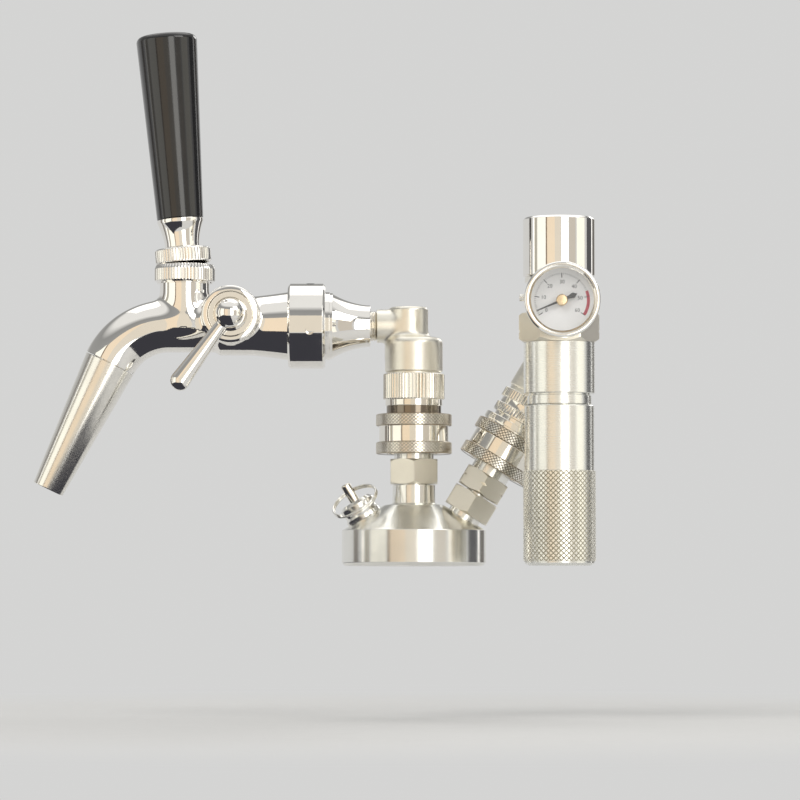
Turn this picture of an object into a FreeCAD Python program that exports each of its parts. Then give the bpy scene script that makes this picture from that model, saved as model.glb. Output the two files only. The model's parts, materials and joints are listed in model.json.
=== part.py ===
"""Dispensing head for a small screw-neck keg.

A turned cap screws on the keg's neck. It carries a liquid post, a gas post and a pull-ring relief
valve. A ball-lock disconnect on the liquid post holds a chrome tap with flow control, and one on the
gas post holds a small regulator with a pressure gauge and a gas cartridge in a screw-on sleeve.

Millimetres, +Z up. The origin is the centre of the cap's mouth, where the keg's neck goes in. The
tap points along -X and the regulator stands on the +X side, in front of the gas post (-Y).
"""

import FreeCAD, Part
import math
import os
import re

import Sketcher

# Driving sizes, one spreadsheet row each: name, value, what it is.
SIZES = [
    ("cap_radius", 29.5, "outer radius of the cap"),
    ("cap_wall", 14.5, "height of the cap's straight wall"),
    ("cap_chamfer", 1.3, "chamfer round the cap's lower edge"),
    ("cone_slope", 31, "slope of the cap's cone, and tilt of the two side ports"),
    ("cone_top_radius", 12.5, "radius where the cone meets the crown"),
    ("crown_rise", 0.8, "rise of the flatter crown"),
    ("boss_radius", 8.8, "radius of the boss under the liquid post"),
    ("boss_height", 7.5, "height of that boss above the crown"),
    ("neck_thread_radius", 22, "bore for the keg's neck thread"),
    ("neck_thread_length", 9.5, "free depth of that bore, up to the gasket"),
    ("gasket_thickness", 2.2, "thickness of the neck gasket"),
    ("gasket_groove", 0.6, "depth of the groove that holds the gasket"),
    ("gasket_width", 6, "radial width of the gasket"),
    ("dip_socket_radius", 4, "bore that the dip tube pushes into"),
    ("dip_socket_length", 12.3, "depth of that bore"),
    ("port_reach", 20.3, "distance of the side ports from the cap's axis"),
    ("port_bore", 3, "gas passage through the cap"),
    ("port_thread", 5, "thread radius of the side ports"),
    ("spot_face_depth", 0.6, "depth of the flat seat under each side port"),
    ("seat_play", 0.05, "clearance of screwed and pressed seats"),
    ("running_gap", 0.08, "radial clearance of turning and sliding fits"),
    ("free_gap", 0.3, "clearance of parts that only pass each other"),
    ("post_radius", 8.2, "radius of the ball-lock posts' stem"),
    ("post_stem", 18.4, "length of the stem above the hexagon"),
    ("post_bore", 4.6, "poppet chamber in the stem"),
    ("post_passage", 3, "passage below the poppet chamber"),
    ("post_shank", 6.5, "radius of the liquid post's shank"),
    ("shank_length", 9.2, "length of that shank"),
    ("hex_flats", 19.2, "width across flats of the liquid post"),
    ("hex_height", 10.2, "height of the liquid post's hexagon"),
    ("hex_chamfer", 0.9, "turned chamfer on the hexagons' corners"),
    ("hex_gap", 0.4, "undercut between boss and hexagon"),
    ("gas_hex_flats", 18.5, "width across flats of the gas post"),
    ("gas_hex_height", 8.5, "height of the gas post's hexagon"),
    ("gas_notch", 0.8, "half height of the notch that marks the gas post"),
    ("adapter_flats", 19.2, "width across flats of the adapter under the gas post"),
    ("adapter_hex_height", 8.9, "height of the adapter's hexagon"),
    ("adapter_neck", 1.5, "height of the adapter's round neck"),
    ("adapter_neck_radius", 7, "radius of that neck"),
    ("adapter_spigot", 4.6, "length of the adapter's thread inside the gas post"),
    ("adapter_gap", 0.8, "undercut between adapter and gas post"),
    ("oring_wire", 0.65, "section radius of the posts' seal rings"),
    ("oring_drop", 3, "seal groove below the top of the stem"),
    ("poppet_radius", 4.3, "radius of the poppets' guide"),
    ("poppet_tip", 1.2, "radius of the poppets' tip"),
    ("poppet_depth", 3, "poppet tip below the stem's top when pressed"),
    ("poppet_travel", 1.2, "travel left below the pressed place"),
    ("liquid_mouth_gap", 2.2, "liquid post's hexagon to the locking sleeve"),
    ("gas_mouth_gap", 3.45, "gas post's hexagon to the locking sleeve"),
    ("ball_radius", 1.6, "radius of the locking balls"),
    ("ball_count", 6, "number of locking balls"),
    ("ball_height", 5.2, "locking balls above the sleeve's lower end"),
    ("socket_radius", 11.2, "outer radius of the socket's tube"),
    ("socket_start", 0.8, "socket's end inside the sleeve"),
    ("sleeve_radius", 15.5, "radius of the sleeve's knurled rings"),
    ("sleeve_waist", 14.25, "radius between the knurled rings"),
    ("sleeve_length", 16.1, "length of the locking sleeve"),
    ("knurl_height", 4.7, "height of a knurled ring"),
    ("gas_sleeve_length", 19.55, "length of the gas sleeve with its collar"),
    ("gas_collar_height", 2.5, "height of the gas sleeve's top collar"),
    ("sleeve_spring_room", 13, "inner radius of the sleeve above its locking land"),
    ("liquid_sleeve_travel", 2.5, "lift that frees the liquid post"),
    ("gas_sleeve_travel", 1.5, "lift that frees the gas post"),
    ("socket_step", 19.6, "height of the socket's smooth band"),
    ("socket_band_radius", 11.7, "radius of that band"),
    ("socket_band_height", 2.5, "height of that band"),
    ("flute_radius", 12.55, "radius of the fluted nut"),
    ("flute_height", 9.6, "height of the fluted nut"),
    ("flute_count", 58, "flutes round the nut"),
    ("flute_cut", 0.55, "radius of one flute"),
    ("gas_step", 21.25, "start of the gas socket's lower fluted band"),
    ("gas_flute_height", 4, "height of each fluted band on the gas socket"),
    ("gas_groove_height", 2.6, "smooth groove between the two bands"),
    ("guide_bore", 9.3, "bore for the elbow's spigot"),
    ("guide_floor", 24, "floor of that bore"),
    ("pin_radius", 1.5, "radius of the pin that opens the poppet"),
    ("pin_flange", 1.4, "thickness of the pin's flange"),
    ("elbow_neck", 11, "radius of the groove between nut and bell"),
    ("elbow_neck_height", 1.7, "height of that groove"),
    ("bell_radius", 11.8, "radius of the elbow's bell"),
    ("bell_height", 14.3, "height of the bell"),
    ("block_radius", 7.85, "radius of the elbow's head"),
    ("block_shift", 2, "shift of the head towards its port"),
    ("block_top", 60.2, "top of the head above the sleeve's lower end"),
    ("port_height", 52.4, "liquid elbow's port above the sleeve's lower end"),
    ("gas_port_height", 50.2, "gas elbow's port above the sleeve's lower end"),
    ("elbow_port_radius", 6.8, "radius of the elbow's side port"),
    ("elbow_port_reach", 15.2, "face of the side port from the elbow's axis"),
    ("elbow_tail_radius", 6, "radius of the threaded tail in the port"),
    ("elbow_tail_reach", 17.8, "end of the tail that shows"),
    ("tail_entry", 5, "depth of the tail inside what it screws into"),
    ("elbow_bore", 3.2, "passage through the elbow"),
    ("gas_tail_radius", 4, "radius of the gas elbow's tail in the regulator"),
    ("adapter_small_radius", 8.55, "small end of the shank adapter"),
    ("adapter_flare_radius", 13.2, "large end of its flare"),
    ("adapter_flare_end", 33.2, "where the flare ends"),
    ("adapter_flare_curve", 34, "hollow radius of the flare"),
    ("shank_thread_radius", 14.6, "thread of the shank adapter"),
    ("shank_insert", 7.7, "length of the shank adapter inside the coupling nut"),
    ("washer_thickness", 2, "thickness of the washer behind the tap"),
    ("nut_gap", 3.1, "coupling nut's rear face past the end of the flare"),
    ("nut_length", 15.2, "length of the coupling nut"),
    ("nut_radius", 17.5, "radius of the coupling nut"),
    ("nut_chamfer", 0.9, "chamfer on its edges"),
    ("nut_lip", 2.3, "thickness of the nut's front lip"),
    ("spanner_hole", 1.7, "radius of the spanner holes"),
    ("spanner_hole_place", 6.1, "spanner holes from the nut's rear face"),
    ("spanner_hole_turn", 10, "turn of the spanner holes below level"),
    ("spanner_hole_count", 4, "number of spanner holes"),
    ("tap_flange", 3, "thickness of the tap's rear flange"),
    ("tap_collar_radius", 14, "radius of the tap behind its waist"),
    ("tap_waist_length", 8.5, "length of the tap's waist past the coupling nut"),
    ("tap_waist_radius", 12.1, "radius of the tap's middle"),
    ("tap_waist_curve", 26, "hollow radius of the waist"),
    ("tap_shoulder_gap", 4.4, "step down to the tube, past the flow control's axis"),
    ("tap_tube_radius", 10.85, "radius of the tap's tube"),
    ("bend_gap", 6.3, "start of the bend past the handle's axis"),
    ("bend_radius", 26.9, "radius of the bend's centre line"),
    ("bend_turn", 64, "turn of the bend"),
    ("tap_bore", 5.2, "bore of the bend and the nozzle"),
    ("chamber_bore", 7, "bore that the shuttle slides in"),
    ("chamber_lead", 4.6, "rear end of that bore, behind the flow control's axis"),
    ("inlet_bore", 6.2, "bore behind it"),
    ("nozzle_length", 57.5, "length of the nozzle below the joint"),
    ("nozzle_root", 10.7, "radius of the nozzle at the joint"),
    ("nozzle_tip", 6.55, "radius of the nozzle at its mouth"),
    ("nozzle_spigot", 7.5, "radius of the nozzle's thread"),
    ("nozzle_entry", 6, "length of that thread"),
    ("joint_line", 0.3, "groove between tap and nozzle"),
    ("bonnet_gap", 19.4, "handle's axis past the flow control's"),
    ("tap_neck_radius", 10.25, "radius of the neck under the bonnet"),
    ("tap_neck_height", 17.2, "top of the neck above the tap's axis"),
    ("neck_blend", 1.5, "blend round the root of the neck"),
    ("bonnet_radius", 12.4, "radius of the bonnet nut"),
    ("bonnet_height", 8, "height of the bonnet nut"),
    ("bonnet_thread", 9.9, "thread of the bonnet nut"),
    ("bonnet_mouth", 7.3, "opening that the lever swings in"),
    ("bonnet_cover", 2, "thickness of the bonnet's top"),
    ("bonnet_chamfer", 1.4, "chamfer on the bonnet's top edge"),
    ("bonnet_flute_count", 58, "flutes round the bonnet and the collar"),
    ("pivot_rise", 19, "lever's pivot above the tap's axis"),
    ("lever_lean", 4.5, "lean of the closed handle towards the spout"),
    ("lever_ball", 8.2, "radius of the lever's ball"),
    ("ball_room", 8.6, "radius of the chamber round the ball"),
    ("lever_stem_radius", 3.2, "radius of the lever's stem"),
    ("lever_stem_top", 36, "top of the stem above the pivot"),
    ("tail_radius", 1.5, "radius of the lever's tail"),
    ("tail_ball", 2, "radius of the tail's tip"),
    ("tail_drop", 14, "tail's tip below the pivot"),
    ("collar_radius", 11.4, "radius of the lever's collar"),
    ("collar_bottom", 7, "collar's lower edge above the pivot"),
    ("collar_height", 5.9, "height of the collar"),
    ("collar_roof", 11.3, "roof of the collar's hollow above the pivot"),
    ("collar_hollow", 13.15, "radius of the collar's round hollow"),
    ("ferrule_gap", 0.6, "neck between collar and ferrule"),
    ("ferrule_height", 11.5, "height of the handle's ferrule"),
    ("ferrule_foot", 7.15, "radius of the ferrule's foot"),
    ("ferrule_head", 9.5, "radius of the ferrule's head"),
    ("handle_length", 76, "length of the handle"),
    ("handle_top_radius", 12.5, "radius of the handle's top"),
    ("handle_round", 2.5, "rounding of the handle's top edge"),
    ("shuttle_lead", 7.5, "rear end of the shuttle, behind the handle's axis"),
    ("shuttle_guide", 6.7, "radius of the shuttle's guide"),
    ("shuttle_body", 5.5, "radius of the shuttle's body"),
    ("shuttle_head", 6.4, "radius of the shuttle's head"),
    ("shuttle_slot", 4.8, "slot for the lever's tail"),
    ("seal_wire", 0.65, "section radius of the shuttle's seal"),
    ("flow_gap", 23.1, "flow control's axis past the coupling nut"),
    ("flow_rise", 3.9, "flow control's axis above the tap's axis"),
    ("flow_boss_radius", 11.2, "radius of the flow control's boss"),
    ("flow_boss_root", 8, "radius that the boss starts with inside the tap"),
    ("flow_boss_flare", 9.5, "height over which the boss widens"),
    ("flow_boss_reach", 12.2, "face of that boss from the tap's axis"),
    ("flow_plug", 5.4, "radius of the flow control's plug"),
    ("flow_plug_depth", 4.5, "plug's end behind the tap's axis"),
    ("flow_stem", 3, "radius of the plug's stem"),
    ("flow_ring_radius", 11.75, "radius of the flow control's ring"),
    ("flow_ring_height", 4.8, "height of that ring"),
    ("flow_ring_round", 1.5, "rounding of the ring's front edge"),
    ("flow_ball", 5.35, "radius of the flow lever's hub"),
    ("flow_ball_reach", 20.3, "hub's centre from the tap's axis"),
    ("flow_lever_length", 38, "length of the flow lever"),
    ("flow_lever_root", 1.9, "half width of the lever at its hub"),
    ("flow_lever_tip", 4.1, "half width of the lever at its end"),
    ("flow_lever_thickness", 3.8, "thickness of the lever"),
    ("flow_lever_round", 1.2, "rounding of the lever's edges"),
    ("flow_lever_lean", 36, "lean of the lever towards the spout"),
    ("relief_radius", 7.5, "radius of the relief valve's body"),
    ("relief_height", 7.4, "height of that body above the cone"),
    ("relief_bore", 3.6, "spring chamber of the relief valve"),
    ("relief_guide", 2.2, "hole that the pin passes"),
    ("relief_pin", 2.1, "radius of the pull pin"),
    ("relief_pin_top", 15.5, "top of the pin above the cone"),
    ("relief_hole_height", 12, "cross hole above the cone"),
    ("relief_hole", 1.35, "radius of the cross hole"),
    ("relief_travel", 2, "pull that opens the valve"),
    ("ring_radius", 9.7, "radius of the pull ring to its wire"),
    ("ring_wire", 0.5, "radius of the ring's wire"),
    ("ring_droop", 29, "droop of the ring below its level place"),
    ("ring_step", 0.9, "step between the two turns of the ring, pressed together"),
    ("regulator_reach", 34, "regulator's axis in front of the cap's axis"),
    ("barrel_radius", 14.25, "radius of the regulator's barrel"),
    ("barrel_top", 6.2, "top of the barrel above the gas port"),
    ("barrel_bottom", 14.3, "bottom of the barrel below the gas port"),
    ("ring_neck_radius", 12.85, "radius of the ring under the barrel"),
    ("ring_neck_height", 3.6, "height of that ring"),
    ("barrel_groove", 0.8, "groove between barrel and ring"),
    ("sleeve_thread_radius", 12.2, "thread for the cartridge sleeve"),
    ("sleeve_thread_length", 7.3, "length of that thread"),
    ("barrel_bore", 11, "bore round the cartridge's shoulder"),
    ("neck_bore", 4.6, "bore round the cartridge's neck"),
    ("regulator_chamber", 6, "low-pressure chamber of the regulator"),
    ("chamber_floor", 4.1, "floor of that chamber below the port"),
    ("partition", 1.7, "wall that holds the piercing pin"),
    ("cartridge_radius", 10.6, "radius of the gas cartridge"),
    ("cartridge_neck", 4.2, "radius of its neck"),
    ("cartridge_wall", 1.2, "wall of the cartridge"),
    ("cartridge_shoulder", 7, "height of its shoulder"),
    ("cartridge_neck_height", 7, "height of its neck"),
    ("case_radius", 13.95, "radius of the cartridge sleeve"),
    ("grip_radius", 14.5, "radius of the sleeve's knurled grip"),
    ("case_length", 64, "length of the cartridge sleeve"),
    ("grip_start", 1.9, "start of the grip above the sleeve's bottom"),
    ("grip_end", 37.8, "end of the grip"),
    ("case_bore", 11.3, "bore of the cartridge sleeve"),
    ("case_floor", 2, "thickness of the sleeve's bottom"),
    ("case_gap", 0.3, "gap between ring and sleeve"),
    ("block_flats", 28, "width across flats of the regulator's head"),
    ("block_height", 11.8, "height of the regulator's hexagonal head"),
    ("block_groove_place", 4.5, "groove round the head above its lower edge"),
    ("block_groove_depth", 0.6, "depth of that groove"),
    ("stem_neck_radius", 12.5, "radius of the regulator's neck"),
    ("stem_neck_height", 12.2, "height of that neck"),
    ("stem_collar_radius", 13.8, "radius of the collar under the knob"),
    ("stem_collar_height", 2.1, "height of that collar"),
    ("vent_radius", 1.4, "radius of the vent screw's head"),
    ("vent_height", 6.3, "vent screw above the hexagonal head"),
    ("vent_reach", 15.9, "end of the vent screw from the regulator's axis"),
    ("knob_radius", 14.5, "radius of the adjusting knob"),
    ("knob_height", 23.7, "height of the adjusting knob"),
    ("knob_chamfer", 0.8, "chamfer on the knob's top edge"),
    ("knob_wall", 2.6, "wall of the knob"),
    ("piston_radius", 8.7, "radius of the regulator's piston"),
    ("piston_height", 4, "thickness of the piston"),
    ("piston_place", 2.8, "piston above the barrel's top"),
    ("piston_travel", 1, "travel of the piston"),
    ("main_spring_inner", 4.2, "inner radius of the regulator's spring"),
    ("main_spring_outer", 7.4, "outer radius of that spring"),
    ("main_spring_length", 12, "length of that spring"),
    ("screw_radius", 3.5, "radius of the adjusting screw"),
    ("gauge_rise", 21.3, "gauge's centre above the gas port"),
    ("gauge_back", 14.7, "back of the gauge from the regulator's axis"),
    ("gauge_depth", 15.5, "depth of the gauge's case"),
    ("gauge_radius", 14, "radius of the gauge's case"),
    ("gauge_wall", 1, "wall of the case"),
    ("gauge_stem", 4.4, "radius of the gauge's stem"),
    ("bezel_radius", 15, "radius of the gauge's bezel"),
    ("bezel_depth", 5, "depth of the bezel"),
    ("bezel_opening", 12.9, "opening of the bezel"),
    ("bezel_lip", 1.4, "thickness of the bezel's lip"),
    ("dial_place", 10, "dial's face in front of the case's back"),
    ("dial_thickness", 0.6, "thickness of the dial"),
    ("lens_thickness", 1.4, "thickness of the gauge's lens"),
    ("hub_radius", 2.3, "radius of the needle's hub"),
    ("needle_length", 10.8, "needle's tip from its hub"),
    ("needle_tail", 5.6, "needle's tail from its hub"),
    ("needle_width", 0.9, "half width of the needle's tail"),
    ("needle_thickness", 0.5, "thickness of the needle"),
    ("needle_angle", 203, "place of the needle, counted up from +X"),
]

# Places that follow from the sizes, written as formulas.
PLACES = {
    "cone_top": "(cap_wall + (cap_radius - cone_top_radius) * tan(cone_slope))",
    "port_z": "(cap_wall + (cap_radius - port_reach) * tan(cone_slope))",
    "boss_top": "(@cone_top + crown_rise + boss_height)",
    "ceiling": "(neck_thread_length + gasket_thickness)",
    "liquid_hex": "(@boss_top + hex_gap)",
    "liquid_mouth": "(@liquid_hex + hex_height + liquid_mouth_gap)",
    "tap_z": "(@liquid_mouth + port_height)",
    "adapter_top": "(adapter_neck + adapter_hex_height)",
    "gas_hex": "(@adapter_top + adapter_gap)",
    "gas_mouth": "(@gas_hex + gas_hex_height + gas_mouth_gap)",
    "gas_port": "(@gas_mouth + gas_port_height)",
    "regulator_x": "(port_reach + @gas_port * sin(cone_slope))",
    "regulator_z": "(@port_z + @gas_port * cos(cone_slope))",
    "head_bottom": "(barrel_top)",
    "head_top": "(barrel_top + block_height)",
    "neck_top": "(@head_top + stem_neck_height)",
    "collar_top": "(@neck_top + stem_collar_height)",
    "case_top": "(-barrel_bottom - barrel_groove - ring_neck_height - case_gap)",
    "case_bottom": "(@case_top - case_length)",
    "pin_seat": "(-chamber_floor - partition)",
    "cartridge_top": "(@pin_seat - 1.4)",
    "nut_end": "(@nut_start + nut_length)",
    "washer_face": "(@shank_face + washer_thickness)",
    "shuttle_front": "(@bend_start - joint_line)",
    "collar_edge": "(collar_bottom + collar_height)",
    "ferrule_bottom": "(@collar_edge + ferrule_gap)",
    "ferrule_top": "(@ferrule_bottom + ferrule_height)",
    "handle_top": "(@ferrule_top + handle_length)",
    "dial_face": "(gauge_back + dial_place)",
    "bezel_front": "(gauge_back + gauge_depth + bezel_lip)",
    "nut_start": "(adapter_flare_end + nut_gap)",
    "shank_face": "(@nut_start + shank_insert)",
    "flow_reach": "(@nut_end + flow_gap)",
    "bonnet_reach": "(@flow_reach + bonnet_gap)",
    "bend_start": "(@bonnet_reach + bend_gap)",
    "tap_waist_place": "(@nut_end + tap_waist_length)",
    "tap_shoulder": "(@flow_reach + tap_shoulder_gap)",
    "chamber_start": "(@flow_reach - chamber_lead)",
    "shuttle_start": "(@bonnet_reach - shuttle_lead)",
}


def formula(text):
    """Write a formula out in full: @places become their formulas, and sizes refer to the sheet."""
    while "@" in text:
        text = re.sub(r"@(\w+)", lambda match: PLACES[match.group(1)], text)
    return re.sub(r"[a-z_]+\w*", lambda match: SHEET_NAMES.get(match.group(0), match.group(0)), text)


SHEET_NAMES = {name: "sizes." + name for name, value, note in SIZES}


def frame(x="0", y="0", z="0", axis="0; 0; 1", turn="0"):
    """A placement formula: a point, and a turn in degrees about an axis."""
    return f"placement(vector({x}; {y}; {z}); rotation(vector({axis}); {turn}))"


# The frames that the pieces are built in. Each turned piece has its own axis along its frame's Z.
CAP = frame()
LIQUID_POST = frame(z="@liquid_hex")
LIQUID_MOUTH = frame(z="@liquid_mouth")
GAS_PORT = frame("port_reach", "0", "@port_z", "0; 1; 0", "cone_slope")
GAS_POST = GAS_PORT + " * " + frame(z="@gas_hex")
GAS_MOUTH = GAS_PORT + " * " + frame(z="@gas_mouth")
RELIEF_PORT = frame("-port_reach", "0", "@port_z", "0; 1; 0", "-cone_slope")
TAP = frame(z="@tap_z", axis="0; 1; 0", turn="-90")
BEND_END = frame(
    "-bend_radius * (1 - cos(bend_turn))", "0", "@bend_start + bend_radius * sin(bend_turn)", "0; 1; 0", "-bend_turn"
)
NOZZLE = TAP + " * " + BEND_END
BONNET = frame("-@bonnet_reach", "0", "@tap_z")
LEVER = frame("-@bonnet_reach", "0", "@tap_z + pivot_rise", "0; 1; 0", "-lever_lean")
FLOW = frame("-@flow_reach", "0", "@tap_z + flow_rise", "1; 0; 0", "90")
FLOW_ARM = FLOW + " * " + frame(z="flow_ball_reach", turn="-90 - flow_lever_lean")
REGULATOR = frame("@regulator_x", "-regulator_reach", "@regulator_z")
GAUGE = frame("@regulator_x", "-regulator_reach", "@regulator_z + gauge_rise", "1; 0; 0", "90")
NEEDLE = GAUGE + " * " + frame(z="@dial_face + 0.9", turn="needle_angle")
UP_IN_TAP = frame(z="@bonnet_reach", axis="0; 1; 0", turn="90")
FLOW_IN_TAP = frame("flow_rise", "0", "@flow_reach", "1; 0; 0", "90")
SIDEWAYS = "0; 1; 0"


doc = FreeCAD.newDocument("dispensing_head")
sheet = doc.addObject("Spreadsheet::Sheet", "sizes")
parts = []


def fill_sheet():
    """Write every driving size into the sheet, with its note and its alias."""
    for row, (name, value, note) in enumerate(SIZES, start=1):
        sheet.set(f"A{row}", note)
        sheet.set(f"B{row}", str(value))
        sheet.setAlias(f"B{row}", name)
    doc.recompute()


def value_of(text):
    """The number that a formula gives with the sheet's present sizes."""
    return float(sheet.evalExpression(formula(text)))


def bind(target, path, text):
    """Tie a property of an object to a formula on the sheet."""
    target.setExpression(path, formula(text))


def origin_plane(body, role):
    """The body's own origin plane with the given role."""
    return next(feature for feature in body.Origin.OriginFeatures if feature.Role == role)


def new_body(name, place):
    """An empty body for one piece, set in its frame."""
    body = doc.addObject("PartDesign::Body", name + "_body")
    bind(body, "Placement", place)
    return body


def keep(name, piece):
    """Take a finished object as the piece with this name."""
    piece.Label = name
    parts.append(piece)
    return piece


def pin_point(sketch, edge, end, x, y):
    """Fix one end of a sketch edge at a place given by two formulas."""
    for direction, text, axis in (("DistanceX", x, -2), ("DistanceY", y, -1)):
        if text == "0":
            sketch.addConstraint(Sketcher.Constraint("PointOnObject", edge, end, axis))
        else:
            index = sketch.addConstraint(
                Sketcher.Constraint(direction, -1, 1, edge, end, value_of(text))
            )
            bind(sketch, f"Constraints[{index}]", text)


def round_edge(start, end, bulge):
    """An arc between two points; a positive radius bulges to the right of the way, a negative one to the left."""
    chord = end - start
    radius = abs(bulge)
    across = FreeCAD.Vector(-chord.y, chord.x, 0).normalize()
    rise = math.sqrt(radius**2 - chord.Length**2 / 4)
    centre = (start + end) * 0.5 + across * (rise if bulge > 0 else -rise)
    angles = [math.atan2(point.y - centre.y, point.x - centre.x) for point in (start, end)]
    first, last = angles if bulge > 0 else reversed(angles)
    if last <= first:
        last += 2 * math.pi
    circle = Part.Circle(centre, FreeCAD.Vector(0, 0, 1), radius)
    return Part.ArcOfCircle(circle, first, last)


def draw_outline(sketch, outline):
    """Draw a closed outline whose corners are pairs of formulas.

    A corner's third entry is the radius of the round edge that leads on from it.
    """
    points = [FreeCAD.Vector(value_of(corner[0]), value_of(corner[1]), 0) for corner in outline]
    ends = []
    for index, corner in enumerate(outline):
        start = points[index]
        end = points[(index + 1) % len(points)]
        if len(corner) == 3:
            bulge = value_of(corner[2])
            edge = sketch.addGeometry(round_edge(start, end, bulge), False)
            constraint = sketch.addConstraint(Sketcher.Constraint("Radius", edge, abs(bulge)))
            bind(sketch, f"Constraints[{constraint}]", "abs(" + corner[2] + ")")
            ends.append((edge, 1, 2) if bulge > 0 else (edge, 2, 1))
        else:
            edge = sketch.addGeometry(Part.LineSegment(start, end), False)
            ends.append((edge, 1, 2))
    for index, (edge, first, last) in enumerate(ends):
        following = ends[(index + 1) % len(ends)]
        sketch.addConstraint(
            Sketcher.Constraint("Coincident", edge, last, following[0], following[1])
        )
    for (edge, first, last), corner in zip(ends, outline):
        pin_point(sketch, edge, first, corner[0], corner[1])


def new_sketch(body, name, role, offset=None):
    """A sketch on one of the body's own origin planes, shifted by a placement formula if one is given."""
    sketch = body.newObject("Sketcher::SketchObject", name)
    sketch.AttachmentSupport = (origin_plane(body, role), [""])
    sketch.MapMode = "FlatFace"
    if offset:
        bind(sketch, "AttachmentOffset", offset)
    return sketch


def revolve(body, name, outline):
    """Turn an outline of (radius, height) corners about the body's Z axis."""
    sketch = new_sketch(body, name + "_outline", "XZ_Plane")
    draw_outline(sketch, outline)
    turned = body.newObject("PartDesign::Revolution", name + "_turned")
    turned.Profile = sketch
    turned.ReferenceAxis = (sketch, ["V_Axis"])
    turned.Angle = 360
    return turned


def turned_piece(name, place, outline):
    """A piece that is turned from one outline."""
    body = new_body(name, place)
    revolve(body, name, outline)
    return keep(name, body)


def add_cylinder(body, name, radius, height, place, kind="Additive"):
    """Add a cylinder to a body, or cut one from it."""
    cylinder = body.newObject(f"PartDesign::{kind}Cylinder", name)
    bind(cylinder, "Radius", radius)
    bind(cylinder, "Height", height)
    bind(cylinder, "Placement", place)
    return cylinder


def drill(body, name, radius, depth, place=CAP):
    """Drill a round hole, starting at a frame and running along its Z axis."""
    return add_cylinder(body, name, radius, depth, place, "Subtractive")


def repeat_round(body, name, feature, count):
    """Repeat a feature round the body's Z axis."""
    pattern = body.newObject("PartDesign::PolarPattern", name)
    pattern.Originals = [feature]
    pattern.Axis = (next(f for f in body.Origin.OriginFeatures if f.Role == "Z_Axis"), [""])
    pattern.Angle = 360
    bind(pattern, "Occurrences", count)
    body.Tip = pattern
    return pattern


def mill_hexagon(body, name, flats, bottom, height, sides=6):
    """Mill a round blank to a polygon between two heights, with a corner on the X axis."""
    sketch = new_sketch(body, name + "_hexagon", "XY_Plane", frame(z=bottom))
    corner = f"({flats}) / 2 / cos({180 / sides})"
    outline = []
    for index in range(sides):
        angle = 360 / sides * index
        across = "0" if abs(math.cos(math.radians(angle))) < 1e-9 else f"{corner} * cos({angle})"
        along = "0" if abs(math.sin(math.radians(angle))) < 1e-9 else f"{corner} * sin({angle})"
        outline.append((across, along))
    draw_outline(sketch, outline)
    rim = sketch.addGeometry(
        Part.Circle(FreeCAD.Vector(), FreeCAD.Vector(0, 0, 1), value_of(flats)), False
    )
    sketch.addConstraint(Sketcher.Constraint("Coincident", rim, 3, -1, 1))
    radius = sketch.addConstraint(Sketcher.Constraint("Radius", rim, value_of(flats)))
    bind(sketch, f"Constraints[{radius}]", flats)
    pocket = body.newObject("PartDesign::Pocket", name + "_flats")
    pocket.Profile = sketch
    pocket.Reversed = True
    bind(pocket, "Length", height)
    return pocket


def cut_flutes(body, name, radius, bottom, height, count, cut="flute_cut"):
    """Cut small round flutes into a band, side by side all the way round."""
    flute = drill(body, name + "_flute", cut, height, frame(radius + " + 0.2", "0", bottom))
    return repeat_round(body, name + "_flutes", flute, count)


def torus_piece(name, place, radius, wire):
    """A seal ring of round section."""
    ring = doc.addObject("Part::Torus", name + "_ring")
    bind(ring, "Radius1", radius)
    bind(ring, "Radius2", wire)
    bind(ring, "Placement", place)
    return keep(name, ring)


def tube_piece(name, place, inner, outer, bottom, top):
    """A plain ring or sleeve of rectangular section."""
    return turned_piece(name, place, [(inner, bottom), (outer, bottom), (outer, top), (inner, top)])


def cap_assembly():
    """The screw cap with its gasket."""
    body = new_body("cap", CAP)
    groove = "neck_thread_radius + gasket_groove"
    revolve(body, "cap", [
        ("neck_thread_radius", "0"),
        ("cap_radius - cap_chamfer", "0"),
        ("cap_radius", "cap_chamfer"),
        ("cap_radius", "cap_wall"),
        ("cone_top_radius", "@cone_top"),
        ("boss_radius", "@cone_top + crown_rise"),
        ("boss_radius", "@boss_top"),
        ("post_shank + seat_play", "@boss_top"),
        ("post_shank + seat_play", "@ceiling + dip_socket_length"),
        ("dip_socket_radius", "@ceiling + dip_socket_length"),
        ("dip_socket_radius", "@ceiling"),
        (groove, "@ceiling"),
        (groove, "neck_thread_length"),
        ("neck_thread_radius", "neck_thread_length"),
    ])
    for side, port in (("gas", GAS_PORT), ("relief", RELIEF_PORT)):
        below = port + " * " + frame(z="-spot_face_depth")
        seat = "relief_radius + free_gap" if side == "relief" else "adapter_neck_radius + free_gap"
        drill(body, side + "_spot_face", seat, "4", below)
        deep = port + " * " + frame(z="-port_thread - spot_face_depth")
        drill(body, side + "_thread", "port_thread + seat_play", "port_thread + spot_face_depth", deep)
        through = port + " * " + frame(z="-cap_wall")
        drill(body, side + "_passage", "port_bore", "cap_wall", through)
    keep("cap", body)
    tube_piece(
        "neck_gasket", CAP, groove + " - seat_play - gasket_width", groove + " - seat_play",
        "neck_thread_length + seat_play", "@ceiling - seat_play",
    )


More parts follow.
